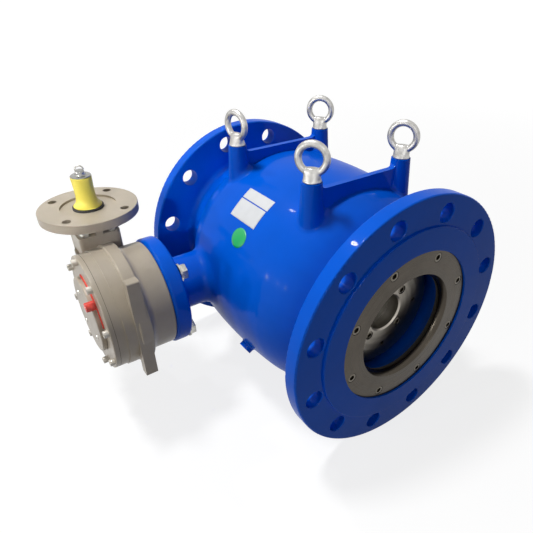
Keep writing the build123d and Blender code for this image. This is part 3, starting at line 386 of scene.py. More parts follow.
@dataclass(frozen=True)
class CastPaint(Finish):
    """Paint over a sand casting, glossy or satin.

    Attributes:
        waves: Waves across a metre of casting.
        wave_depth: Depth of the waves.
        grain: Grains of the paint's skin across a metre.
        grain_depth: Depth of the grain.
        variation: How much darker the paint gets where it is thin.
    """

    waves: float = 40.0
    wave_depth: float = 0.1 * MM
    grain: float = 700.0
    grain_depth: float = 0.006 * MM
    variation: float = 0.12

    def detail(self, wiring: Wiring, surface: Node) -> None:
        """Joins waves, grain, thin places and smudges to the surface.

        Args:
            wiring: The material's tree.
            surface: The material's shader.
        """
        place = wiring.object_place()
        skin = CAST_SKIN.place(wiring, place, Waves=self.waves, Grain=self.grain)
        marks = HANDLING.place(wiring, place, Size=16.0)
        thin = wiring.span(skin.outputs["Cloud"], 0.35, 0.75, 0.0, 1.0)
        paint = wiring.blend(thin, self.colour, self.shade(1 - self.variation))
        worn = wiring.math("MAXIMUM", marks.outputs["Smudge"], marks.outputs["Scuff"])
        dulled = wiring.span(worn, 0.0, 1.0, self.roughness, self.roughness + 0.1)
        waved = wiring.bump(skin.outputs["Waves"], 1.0, self.wave_depth)
        grained = wiring.bump(skin.outputs["Grain"], 1.0, self.grain_depth, waved)
        wiring.feed(surface, {"Base Color": paint, "Roughness": dulled, "Normal": grained})


@dataclass(frozen=True)
class TurnedMetal(Finish):
    """Bare metal turned on a lathe.

    Attributes:
        spin: Axis that it was turned about.
        pitch: Rings across a metre.
        depth: Depth of the rings.
        stretch: How far a highlight is drawn out across the rings.
    """

    metallic: float = 1.0
    spin: Spin = Spin.FLOW
    pitch: float = 2600.0
    depth: float = 0.012 * MM
    stretch: float = 0.7

    def detail(self, wiring: Wiring, surface: Node) -> None:
        """Joins the lathe's rings, broad bands and a few smudges to the surface.

        Args:
            wiring: The material's tree.
            surface: The material's shader.
        """
        place = wiring.object_place(self.spin)
        rings = TURNING.place(wiring, place, Pitch=self.pitch)
        marks = HANDLING.place(wiring, place, Size=26.0)
        band = wiring.span(rings.outputs["Bands"], 0.3, 0.7)
        toned = wiring.blend(band, self.shade(0.8), self.colour)
        finer, coarser = self.roughness - 0.06, self.roughness + 0.1
        feeds = {
            "Base Color": wiring.blend(marks.outputs["Smudge"], toned, self.shade(0.72)),
            "Roughness": wiring.span(rings.outputs["Bands"], 0.25, 0.8, finer, coarser),
            "Normal": wiring.bump(rings.outputs["Rings"], 1.0, self.depth),
            "Anisotropic": self.stretch,
            "Tangent": self.along_the_cut(wiring),
        }
        wiring.feed(surface, feeds)

    def along_the_cut(self, wiring: Wiring) -> Socket:
        """Direction that the tool ran in, round the axis of the turning.

        Args:
            wiring: The material's tree.

        Returns:
            The direction.
        """
        centre, turn = self.spin.value
        to_axis = Matrix.Rotation(turn[1], 3, "Y") @ Matrix.Rotation(turn[2], 3, "Z")
        axis = tuple(to_axis @ Vector((1.0, 0.0, 0.0)))
        place = wiring.add("ShaderNodeTexCoord").outputs["Object"]
        round_axis = wiring.vector("CROSS_PRODUCT", axis, wiring.vector("SUBTRACT", place, centre))
        turned = wiring.add(
            "ShaderNodeVectorTransform",
            {0: round_axis},
            vector_type="VECTOR",
            convert_from="OBJECT",
            convert_to="WORLD",
        )
        return wiring.vector("NORMALIZE", turned.outputs[0])


@dataclass(frozen=True)
class ForgedZinc(Finish):
    """Zinc over a forging or a fastener, cloudy and a little pitted.

    Attributes:
        cloud: Patches of tone across a metre.
        pit_depth: Depth of the pits.
    """

    metallic: float = 1.0
    cloud: float = 180.0
    pit_depth: float = 0.06 * MM

    def detail(self, wiring: Wiring, surface: Node) -> None:
        """Joins clouds, pits and scuffs to the surface.

        Args:
            wiring: The material's tree.
            surface: The material's shader.
        """
        place = wiring.object_place()
        skin = CAST_SKIN.place(wiring, place, Waves=self.cloud, Grain=self.cloud * 6)
        marks = HANDLING.place(wiring, place, Size=60.0)
        patches = wiring.span(skin.outputs["Waves"], 0.3, 0.7)
        cloudy = wiring.blend(patches, self.shade(0.72), self.colour)
        finer, coarser = self.roughness - 0.08, self.roughness + 0.12
        feeds = {
            "Base Color": wiring.blend(marks.outputs["Scuff"], cloudy, self.shade(0.5)),
            "Roughness": wiring.span(skin.outputs["Cloud"], 0.3, 0.7, finer, coarser),
            "Normal": wiring.bump(skin.outputs["Grain"], 0.8, self.pit_depth),
        }
        wiring.feed(surface, feeds)


@dataclass(frozen=True)
class Moulded(Finish):
    """Moulded plastic, rubber or pressed fibre with a fine skin.

    Attributes:
        grain: Grains across a metre.
        grain_depth: Depth of the grain.
        grime: How far handling darkens it.
    """

    grain: float = 900.0
    grain_depth: float = 0.02 * MM
    grime: float = 0.15

    def detail(self, wiring: Wiring, surface: Node) -> None:
        """Joins the mould's grain and the marks of handling to the surface.

        Args:
            wiring: The material's tree.
            surface: The material's shader.
        """
        place = wiring.object_place()
        skin = CAST_SKIN.place(wiring, place, Waves=90.0, Grain=self.grain)
        marks = HANDLING.place(wiring, place, Size=45.0)
        patches = wiring.span(skin.outputs["Waves"], 0.3, 0.7)
        clean = wiring.blend(patches, self.shade(0.94), self.colour)
        smudge = marks.outputs["Smudge"]
        feeds = {
            "Base Color": wiring.blend(smudge, clean, self.shade(1 - self.grime)),
            "Roughness": wiring.span(smudge, 0.0, 1.0, self.roughness, self.roughness + 0.12),
            "Normal": wiring.bump(skin.outputs["Grain"], 0.7, self.grain_depth),
        }
        wiring.feed(surface, feeds)


class Finishes:
    """Every finish on the valve."""

    body_blue = CastPaint(
        "body_blue_epoxy",
        tint(0, 90, 212),
        roughness=0.3,
        specular=0.02,
        coat=0.12,
        coat_roughness=0.04,
        wave_depth=0.2 * MM,
    )
    gear_grey = CastPaint(
        "gearbox_grey_paint",
        tint(174, 163, 146),
        roughness=0.36,
        specular=0.3,
        coat=0.1,
        coat_roughness=0.2,
        waves=70.0,
        wave_depth=0.09 * MM,
        grain=1100.0,
    )
    screw_grey = CastPaint(
        "gearbox_screw_paint",
        tint(206, 199, 186),
        roughness=0.28,
        specular=0.4,
        coat=0.3,
        coat_roughness=0.1,
        waves=200.0,
        wave_depth=0.02 * MM,
    )
    ring_steel = TurnedMetal("seat_ring_stainless", tint(80, 74, 66), 0.26)
    disc_steel = TurnedMetal("plunger_stainless", tint(172, 166, 156), 0.3, pitch=2200.0)
    shaft_steel = TurnedMetal("shaft_steel", tint(168, 168, 166), 0.3, spin=Spin.DRIVE)
    worm_steel = TurnedMetal("worm_steel", tint(150, 150, 150), 0.32, spin=Spin.WORM)
    wheel_bronze = TurnedMetal("wheel_bronze", tint(176, 128, 74), 0.34, spin=Spin.DRIVE)
    cap_steel = TurnedMetal("cap_steel", tint(168, 168, 164), 0.2, spin=Spin.WORM)
    eye_zinc = ForgedZinc("eye_bolt_zinc", tint(196, 194, 190), 0.38)
    screw_zinc = ForgedZinc(
        "screw_zinc", tint(200, 198, 190), 0.28, cloud=400.0, pit_depth=0.02 * MM
    )
    stainless_screw = ForgedZinc(
        "stainless_screw", tint(112, 106, 96), 0.22, cloud=400.0, pit_depth=0.015 * MM
    )
    machined_steel = ForgedZinc(
        "machined_steel", tint(150, 150, 148), 0.34, cloud=120.0, pit_depth=0.02 * MM
    )
    bronze = ForgedZinc("bush_bronze", tint(170, 122, 70), 0.36, cloud=150.0, pit_depth=0.02 * MM)
    yellow = Moulded("yellow_plastic", tint(252, 234, 92), 0.42, specular=0.35)
    red = Moulded("red_plastic", tint(222, 58, 42), 0.38, coat=0.2)
    rubber = Moulded("seal_rubber", tint(26, 26, 27), 0.62, specular=0.3)
    slide = Moulded("slide_plastic", tint(236, 234, 226), 0.4)
    fibre = Moulded("gasket_fibre", tint(88, 84, 78), 0.75, specular=0.2, grain=500.0)
    vinyl = {"coat": 0.3, "grain": 1500.0, "grain_depth": 0.004 * MM}
    white_vinyl = Moulded("white_label_vinyl", tint(214, 216, 218), 0.35, grime=0.05, **vinyl)
    green_vinyl = Moulded("green_label_vinyl", tint(10, 176, 96), 0.32, grime=0.08, **vinyl)


def seat_matrix(point: Sequence[float], direction: Sequence[float]) -> Matrix:
    """Place of a piece modelled upright at the origin.

    Args:
        point: Where its foot goes, in millimetres.
        direction: Where its top points.

    Returns:
        The matrix that takes it there.
    """
    turn = Vector(direction).to_track_quat("Z", "Y").to_matrix().to_4x4()
    return Matrix.Translation(Vector(point) * MM) @ turn


def circle_places(
    centre: Sequence[float], normal: Sequence[float], radius: float, angles: Sequence[float]
) -> list[Matrix]:
    """Places round an axis.

    Args:
        centre: The circle's centre, in millimetres.
        normal: The axis, which the pieces stand along.
        radius: The circle's radius, in millimetres.
        angles: Angles in degrees, from X towards Z about the cross shaft and from Z towards Y
            about the flow.

    Returns:
        One matrix for each angle.
    """
    places = []
    about_flow = abs(normal[0]) > 0.5
    for angle in angles:
        turn = math.radians(angle)
        across, along = radius * math.sin(turn), radius * math.cos(turn)
        step = (0.0, across, along) if about_flow else (along, 0.0, across)
        places.append(seat_matrix([c + s for c, s in zip(centre, step)], normal))
    return places


def points_of(result: Sequence[Element]) -> list[Vert]:
    """The points among an operator's result."""
    return [item for item in result if isinstance(item, Vert)]


def edges_between(verts: Sequence[Vert]) -> list[Edge]:
    """Edges that join the given points to each other."""
    kept = set(verts)
    touching = {edge for vert in kept for edge in vert.link_edges}
    return [edge for edge in touching if kept.issuperset(edge.verts)]


def put_in_scene(name: str, data: bpy.types.ID) -> Piece:
    """Makes an object of a mesh, a lamp or a camera and links it to the scene."""
    made = bpy.data.objects.new(name, data)
    bpy.context.scene.collection.objects.link(made)
    return made


@dataclass
class Mould:
    """A mesh under construction.

    Attributes:
        mesh: The bmesh.
    """

    mesh: bmesh.types.BMesh = field(default_factory=bmesh.new)

    def spin(
        self, outline: list[Element], centre: Sequence[float], axis: Sequence[float], steps: int
    ) -> None:
        """Spins an outline a full turn into a closed shape.

        Args:
            outline: Its points and edges.
            centre: A point of the axis, in metres.
            axis: The axis.
            steps: Steps in the turn.
        """
        bmesh.ops.spin(
            self.mesh,
            geom=outline,
            cent=centre,
            axis=axis,
            dvec=(0, 0, 0),
            angle=math.tau,
            steps=steps,
            use_merge=True,
            use_duplicate=False,
        )

    def turn_profile(self, profile: Sequence[tuple[float, float]], steps: int) -> None:
        """Spins a line about Z.

        Args:
            profile: The line's points, each a radius and a height in millimetres.
            steps: Steps in the turn.
        """
        verts = [self.mesh.verts.new((radius * MM, 0.0, height * MM)) for radius, height in profile]
        edges = [self.mesh.edges.new(pair) for pair in zip(verts, verts[1:])]
        self.spin(verts + edges, (0, 0, 0), (0, 0, 1), steps)

    def repeat(self, places: Sequence[Matrix]) -> None:
        """Copies what there is to each place, and takes the first away.

        Args:
            places: The places.
        """
        first = list(self.mesh.verts) + list(self.mesh.edges) + list(self.mesh.faces)
        for place in places:
            copy = bmesh.ops.duplicate(self.mesh, geom=first)["geom"]
            bmesh.ops.transform(self.mesh, matrix=place, verts=points_of(copy))
        bmesh.ops.delete(self.mesh, geom=points_of(first), context="VERTS")

    def bevel(self, edges: Sequence[Edge], width: float, segments: int = 2) -> None:
        """Rounds edges.

        Args:
            edges: The edges.
            width: Width of the round in millimetres.
            segments: Strips across the round.
        """
        bmesh.ops.bevel(
            self.mesh,
            geom=list(edges),
            offset=width * MM,
            affect="EDGES",
            segments=segments,
            profile=0.5,
            material=-1,
        )

    def piece(self, name: str, body: str, finish: Finish, sharp: float = 35.0) -> Piece:
        """Makes the object.

        Args:
            name: Name of the piece.
            body: The body that it rides on.
            finish: Its finish.
            sharp: Angle in degrees over which an edge stays sharp.

        Returns:
            The object, in the scene and on its body.
        """
        bmesh.ops.remove_doubles(self.mesh, verts=self.mesh.verts, dist=0.002 * MM)
        bmesh.ops.recalc_face_normals(self.mesh, faces=self.mesh.faces)
        data = bpy.data.meshes.new(name)
        self.mesh.to_mesh(data)
        self.mesh.free()
        for polygon in data.polygons:
            polygon.use_smooth = True
        data.set_sharp_from_angle(angle=math.radians(sharp))
        data.materials.append(finish.material())
        made = put_in_scene(name, data)
        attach(made, body)
        return made


@dataclass
class ScrewSet:
    """Screws of one size, in place of a node of plain ones.

    Attributes:
        node: Node that they replace.
        body: Body that they ride on.
        head: Form of their heads.
        size: Thread diameter in millimetres.
        shank: Length under the head in millimetres.
        places: Where each one sits.
        finish: Their finish.
        slot: The record's material slot; not used.
    """

    node: str
    body: str
    head: Head
    size: float
    shank: float
    places: list[Matrix]
    finish: Finish
    slot: str

    def socket_head(self, mould: Mould) -> None:
        """Models a round head with a hexagon socket.

        Args:
            mould: Where it is modelled.
        """
        mesh = mould.mesh
        height, rim, socket = self.size * MM, 0.75 * self.size * MM, 0.46 * self.size * MM
        bmesh.ops.create_circle(mesh, cap_ends=False, segments=30, radius=rim)
        bmesh.ops.create_circle(mesh, cap_ends=False, segments=6, radius=socket)
        sides = edges_between(self.within(mesh, 0.0, 0.5))
        bmesh.ops.subdivide_edges(mesh, edges=sides, cuts=4)
        bmesh.ops.translate(mesh, verts=mesh.verts, vec=(0, 0, height))
        outer = edges_between(self.within(mesh, 0.6, 1.0))
        inner = edges_between(self.within(mesh, 0.0, 0.5))
        bmesh.ops.bridge_loops(mesh, edges=outer + inner)
        down = points_of(bmesh.ops.extrude_edge_only(mesh, edges=outer)["geom"])
        bmesh.ops.translate(mesh, verts=down, vec=(0, 0, -height))
        sunk = points_of(bmesh.ops.extrude_edge_only(mesh, edges=inner)["geom"])
        bmesh.ops.translate(mesh, verts=sunk, vec=(0, 0, -0.5 * height))
        bmesh.ops.holes_fill(mesh, edges=edges_between(sunk), sides=0)
        bmesh.ops.holes_fill(mesh, edges=edges_between(down), sides=0)
        mould.bevel(outer, 0.09 * self.size)
        mould.bevel([edge for edge in inner if edge.is_valid], 0.03 * self.size, 1)

    def hexagon_head(self, mould: Mould) -> None:
        """Models a six-sided head with rounded corners on a thin washer face.

        Args:
            mould: Where it is modelled.
        """
        mesh = mould.mesh
        corner = 1.55 * self.size / math.cos(math.radians(30)) / 2
        height, foot = 0.65 * self.size, 0.05 * self.size
        face_radius, face_top = 0.74 * self.size, 0.06 * self.size
        base = bmesh.ops.create_circle(mesh, cap_ends=True, segments=6, radius=corner * MM)
        lower = base["verts"]
        faces = list({face for vert in lower for face in vert.link_faces})
        bmesh.ops.translate(mesh, verts=lower, vec=(0, 0, foot * MM))
        top = points_of(bmesh.ops.extrude_face_region(mesh, geom=faces)["geom"])
        bmesh.ops.translate(mesh, verts=top, vec=(0, 0, (height - foot) * MM))
        mould.bevel(edges_between(top), 0.1 * self.size, 2)
        washer = [(0.0, 0.0), (face_radius, 0.0), (face_radius, face_top), (0.0, face_top)]
        mould.turn_profile(washer, 30)

    def within(self, mesh: bmesh.types.BMesh, low: float, high: float) -> list[Vert]:
        """Points between two distances from the screw's axis, given as shares of its size."""
        low, high = low * self.size * MM, high * self.size * MM
        return [vert for vert in mesh.verts if low <= math.hypot(vert.co.x, vert.co.y) <= high]

    def build(self) -> Piece:
        """Models one screw, repeats it and dresses the set.

        Returns:
            The set as one piece.
        """
        mould = Mould()
        if self.head is Head.SOCKET:
            self.socket_head(mould)
        else:
            self.hexagon_head(mould)
        radius, tip = self.size / 2, -self.shank
        mould.turn_profile([(0.0, 0.1), (radius, 0.1), (radius, tip), (0.0, tip)], 20)
        mould.repeat(self.places)
        made = mould.piece(f"{self.node}_shown", self.body, self.finish)
        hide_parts(self.node)
        return made


@dataclass
class LiftingEyes:
    """Four forged eye bolts on the posts.

    Attributes:
        places: Foot and turn of each one, in millimetres and degrees.
        outer: Outside diameter of the ring.
        inner: Inside diameter of the ring.
        height: Height over the post.
        collar: Radius of the foot.
        shoulder: Height over the post where the collar ends.
    """

    places: tuple[tuple[float, float, float, float], ...] = (
        (113.5, -70.5, 170.2, 12.0),
        (113.5, 70.5, 170.2, 38.0),
        (276.7, -70.5, 170.2, 38.0),
        (276.7, 70.5, 170.2, 28.0),
    )
    outer: float = 41.0
    inner: float = 24.0
    height: float = 46.7
    collar: float = 10.8
    shoulder: float = 3.4

    def eye(self) -> Mould:
        """Models ring, neck and collar of one eye, run into each other.

        Returns:
            The mould with the eye in it.
        """
        mould = Mould()
        section = (self.outer - self.inner) / 4
        centre = self.height - self.outer / 2
        self.neck(mould, section, centre - self.inner / 2)
        mesh, radius = mould.mesh, section * MM
        tube = bmesh.ops.create_circle(mesh, cap_ends=False, segments=20, radius=radius)["verts"]
        to_ring = ((self.inner / 2 + section) * MM, 0, centre * MM)
        bmesh.ops.translate(mesh, verts=tube, vec=to_ring)
        mould.spin(tube + edges_between(tube), (0, 0, centre * MM), (0, 1, 0), 56)
        return mould

    def neck(self, mould: Mould, section: float, rise: float) -> None:
        """Models collar and neck, round at the foot and as thin as the ring where they meet it.

        Args:
            mould: Where they are modelled.
            section: Radius of the ring's section, in millimetres.
            rise: Height of the ring's hole over the post, in millimetres.
        """
        foot, shoulder = self.collar, self.shoulder
        collar = [(0.0, 0.0), (foot, 0.0), (foot, 2.0), (foot - 0.4, 2.6), (foot - 0.7, shoulder)]
        neck = [(foot - 0.8, rise - 5.0), (foot - 1.0, rise - 1.0), (foot - 3.0, rise + 2.0)]
        mould.turn_profile([*collar, *neck, (0.0, rise + 2.4)], 40)
        thinnest = 1.25 * section / foot
        for vert in mould.mesh.verts:
            up = max(0.0, vert.co.z / MM - shoulder) / (rise - 1.0)
            vert.co.y *= 1.0 - (1.0 - thinnest) * min(1.0, up) ** 0.8

    def build(self) -> Piece:
        """Models the eyes and dresses them.

        Returns:
            The four eyes as one piece.
        """
        mould = self.eye()
        bmesh.ops.recalc_face_normals(mould.mesh, faces=mould.mesh.faces)
        feet = [Matrix.Translation(Vector(place[:3]) * MM) for place in self.places]
        turns = [Matrix.Rotation(math.radians(place[3]), 4, "Z") for place in self.places]
        mould.repeat([foot @ turn for foot, turn in zip(feet, turns)])
        made = mould.piece("eye_bolts_forged", "valve", Finishes.eye_zinc)
        fuse = made.modifiers.new("fuse", "REMESH")
        fuse.mode = "VOXEL"
        fuse.voxel_size = 0.7 * MM
        fuse.use_smooth_shade = True
        ease = made.modifiers.new("ease", "SMOOTH")
        ease.factor = 0.5
        ease.iterations = 6
        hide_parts("eye_bolts")
        return made


@dataclass
class Label:
    """A bare label stuck on the barrel.

    Attributes:
        name: Name of the piece.
        middle: Its middle along the flow and round the barrel, in millimetres and degrees.
        size: Its length along the flow and its breadth round the barrel, in millimetres.
        finish: Its finish.
        oval: Whether it is oval, not square-cornered.
        lift: How far it lies over the paint, in millimetres.
        film: Its thickness, in millimetres.
        crown_radius: The barrel's largest radius, in millimetres.
        crown_arc: Radius of the arc that the barrel's crown follows along the flow, in millimetres.
        crown_x: Where the barrel is largest, in millimetres.
    """

    name: str
    middle: tuple[float, float]
    size: tuple[float, float]
    finish: Finish
    oval: bool = False
    lift: float = 0.12
    film: float = 0.1
    crown_radius: float = 152.3
    crown_arc: float = 712.0
    crown_x: float = 185.0

    def on_barrel(self, along: float, across: float) -> Vector:
        """Point on the barrel's crown.

        Args:
            along: Distance from the label's middle along the flow, in metres.
            across: Distance from the middle round the barrel, in metres.

        Returns:
            The point in metres.
        """
        x = self.middle[0] * MM + along
        arc = self.crown_arc * MM
        drop = arc - math.sqrt(arc**2 - (x - self.crown_x * MM) ** 2)
        radius = (self.crown_radius + self.lift) * MM - drop
        angle = math.radians(self.middle[1]) + across / radius
        return Vector((x, -radius * math.cos(angle), radius * math.sin(angle)))

    def build(self) -> Piece:
        """Lays the label on the barrel.

        Returns:
            The label.
        """
        mould = Mould()
        mesh = mould.mesh
        if self.oval:
            bmesh.ops.create_circle(mesh, cap_ends=True, cap_tris=True, segments=64, radius=0.5)
            bmesh.ops.subdivide_edges(mesh, edges=mesh.edges, cuts=3, use_grid_fill=True)
        else:
            bmesh.ops.create_grid(mesh, x_segments=24, y_segments=16, size=0.5)
        length, breadth = self.size[0] * MM, self.size[1] * MM
        bmesh.ops.scale(mesh, verts=mesh.verts, vec=(length, breadth, 1.0))
        for vert in mesh.verts:
            vert.co = self.on_barrel(vert.co.x, vert.co.y)
        made = mould.piece(self.name, "valve", self.finish)
        thick = made.modifiers.new("film", "SOLIDIFY")
        thick.thickness = self.film * MM
        thick.offset = 0.0
        return made


@dataclass
class ShippingSleeve:
    """Yellow sleeve over the input shaft with its bright cap.

    Attributes:
        axis: The worm's axis as x and y, in millimetres.
        foot: Height of the sleeve's foot.
        top: Height of its head.
        waist: Radius of the waist.
        head: Radius of the head.
        flare: Radius of the foot.
        bore: Radius of the hole through it.
    """

    axis: tuple[float, float] = (46.0, -261.0)
    foot: float = 108.8
    top: float = 148.5
    waist: float = 12.3
    head: float = 12.9
    flare: float = 17.6
    bore: float = 10.15

    def place(self) -> list[Matrix]:
        """The worm's axis as a place."""
        return [Matrix.Translation(Vector((self.axis[0], self.axis[1], 0.0)) * MM)]

    def sleeve(self) -> Piece:
        """Models the yellow sleeve.

        Returns:
            The sleeve.
        """
        mould = Mould()
        low, high, bore = self.foot, self.top, self.bore
        waist, head, flare = self.waist, self.head, self.flare
        foot = [(flare - 0.4, low), (flare, low + 0.4), (flare, low + 1.5)]
        skirt = [(flare - 1.0, low + 2.6), (flare - 2.9, low + 4.6), (flare - 4.3, low + 7.4)]
        wall = [(waist + 0.3, low + 11.0), (waist, low + 15.0), (waist + 0.1, high - 14.0)]
        lip = [(head - 0.1, high - 5.0), (head, high - 2.5), (head, high - 0.5), (head - 0.5, high)]
        mould.turn_profile([(bore, low), *foot, *skirt, *wall, *lip, (bore, high), (bore, low)], 72)
        mould.repeat(self.place())
        made = mould.piece("shaft_sleeve_moulded", "worm", Finishes.yellow)
        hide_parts("shaft_sleeve")
        return made

    def cap(self) -> Piece:
        """Models the bright cap with a rolled rim and a low dome.

        Returns:
            The cap.
        """
        mould = Mould()
        top, rim = self.top, self.head - 0.2
        rolled = [(rim - 0.5, top), (rim, top + 0.3), (rim, top + 1.0), (rim - 0.6, top + 1.5)]
        step = [(7.6, top + 1.5), (6.9, top + 1.9), (6.6, top + 2.6), (6.5, top + 3.6)]
        dome = [(6.0, top + 4.0), (5.8, top + 5.4), (5.3, top + 7.3), (4.6, top + 8.0)]
        mould.turn_profile([(0.0, top), *rolled, *step, *dome, (0.0, top + 8.0)], 60)
        mould.repeat(self.place())
        made = mould.piece("sleeve_cap_pressed", "worm", Finishes.cap_steel)
        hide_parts("sleeve_cap")
        return made

    def build(self) -> list[Piece]:
        """Models the sleeve and its cap.

        Returns:
            The pieces.
        """
        return [self.sleeve(), self.cap()]


@dataclass
class Solids:
    """Finishes and softened shading for the CAD nodes that stay.

    Attributes:
        nodes: The CAD objects by name.
        dress: Each finish with the names of the nodes that it is on.
    """

    nodes: dict[str, Piece]
    dress: tuple[tuple[Finish, str], ...] = (
        (Finishes.body_blue, "valve_body inlet_flange outlet_flange flow_guide drain_plug"),
        (Finishes.gear_grey, "gearbox_case gearbox_cover indicator_disc worm_end_cap input_flange"),
        (Finishes.screw_grey, "cover_screws"),
        (Finishes.ring_steel, "seat_ring"),
        (Finishes.disc_steel, "plunger_cylinder plunger_disc"),
        (Finishes.shaft_steel, "drive_shaft seal_gland coupling_sleeve"),
        (Finishes.worm_steel, "worm_shaft"),
        (Finishes.wheel_bronze, "worm_wheel"),
        (Finishes.cap_steel, "sleeve_cap"),
        (Finishes.machined_steel, "plunger_yoke slide_block"),
        (Finishes.machined_steel, "crank_arm crank_pin crank_key wheel_key"),
        (Finishes.bronze, "block_bush inner_bush outer_bush worm_bearing_lower worm_bearing_upper"),
        (Finishes.eye_zinc, "eye_bolts"),
        (Finishes.stainless_screw, "seat_ring_screws plunger_disc_screws"),
        (Finishes.screw_zinc, "yoke_screws pin_washer pin_screw gland_screws mounting_washers"),
        (Finishes.screw_zinc, "mounting_bolts indicator_screws adapter_screws cap_clip"),
        (Finishes.slide, "plunger_guide_rings"),
        (Finishes.rubber, "seat_seal seat_ring_cord shaft_cords input_seal dust_ring"),
        (Finishes.fibre, "cover_gasket"),
        (Finishes.red, "indicator_ring indicator_pointer"),
        (Finishes.yellow, "shaft_sleeve"),
    )

    def soften(self, piece: Piece, angle: float = 28.0) -> None:
        """Gives a node smooth shading, as modifiers over its untouched mesh.

        Args:
            piece: The node's object.
            angle: Angle in degrees over which an edge stays sharp.
        """
        weld = piece.modifiers.new("weld", "WELD")
        weld.merge_threshold = 0.001 * MM
        split = piece.modifiers.new("soften", "NODES")
        split.node_group = self.shading_tree(angle)
        even = piece.modifiers.new("even", "WEIGHTED_NORMAL")
        even.keep_sharp = True
        even.weight = 60

    def shading_tree(self, angle: float) -> bpy.types.NodeTree:
        """Geometry nodes that shade smooth and keep edges over an angle sharp.

        Args:
            angle: The angle in degrees.

        Returns:
            The node group.
        """
        name = f"soft_shading_{angle:.0f}"
        made = bpy.data.node_groups.get(name)
        if made is not None:
            return made
        made = bpy.data.node_groups.new(name, "GeometryNodeTree")
        made.interface.new_socket("Geometry", in_out="INPUT", socket_type="NodeSocketGeometry")
        made.interface.new_socket("Geometry", in_out="OUTPUT", socket_type="NodeSocketGeometry")
        wiring = Wiring(made)
        start = wiring.add("NodeGroupInput")
        end = wiring.add("NodeGroupOutput")
        whole = {"Geometry": start.outputs[0]}
        smooth = wiring.add("GeometryNodeSetShadeSmooth", whole, domain="FACE")
        fold = wiring.add("GeometryNodeInputMeshEdgeAngle").outputs["Unsigned Angle"]
        compared = {0: fold, 1: math.radians(angle)}
        steep = wiring.add(
            "FunctionNodeCompare", compared, data_type="FLOAT", operation="GREATER_THAN"
        )
        creased = {"Geometry": smooth.outputs[0], "Selection": steep.outputs[0]}
        creased["Shade Smooth"] = False
        sharp = wiring.add("GeometryNodeSetShadeSmooth", creased, domain="EDGE")
        made.links.new(sharp.outputs[0], end.inputs[0])
        return made

    def build(self) -> list[Piece]:
        """Dresses every node that is still shown.

        Returns:
            The dressed objects.
        """
        finishes = {name: finish for finish, names in self.dress for name in names.split()}
        dressed = []
        for name, piece in self.nodes.items():
            paint = finishes[name].material()
            if not piece.material_slots:
                piece.data.materials.append(paint)
            for spot in piece.material_slots:
                spot.material = paint
            if not piece.hide_render:
                self.soften(piece)
                dressed.append(piece)
        return dressed


@dataclass(frozen=True)
class Lamp:
    """A soft rectangular lamp.

    Attributes:
        name: Its name.
        place: Where it stands, in metres.
        size: Its breadth and height, in metres.
        power: Its power in watts.
        target: Where it points, in metres.
        spread: Width of its beam in degrees.
    """

    name: str
    place: tuple[float, float, float]
    size: tuple[float, float]
    power: float
    target: tuple[float, float, float] = (0.19, -0.08, 0.0)
    spread: float = 180.0

    def build(self) -> None:
        """Adds the lamp to the scene."""
        data = bpy.data.lights.new(self.name, "AREA")
        data.shape = "RECTANGLE"
        data.size, data.size_y = self.size
        data.energy = self.power
        data.spread = math.radians(self.spread)
        beam = Vector(self.target) - Vector(self.place)
        turn = beam.to_track_quat("-Z", "Y").to_matrix().to_4x4()
        put_in_scene(self.name, data).matrix_world = Matrix.Translation(self.place) @ turn


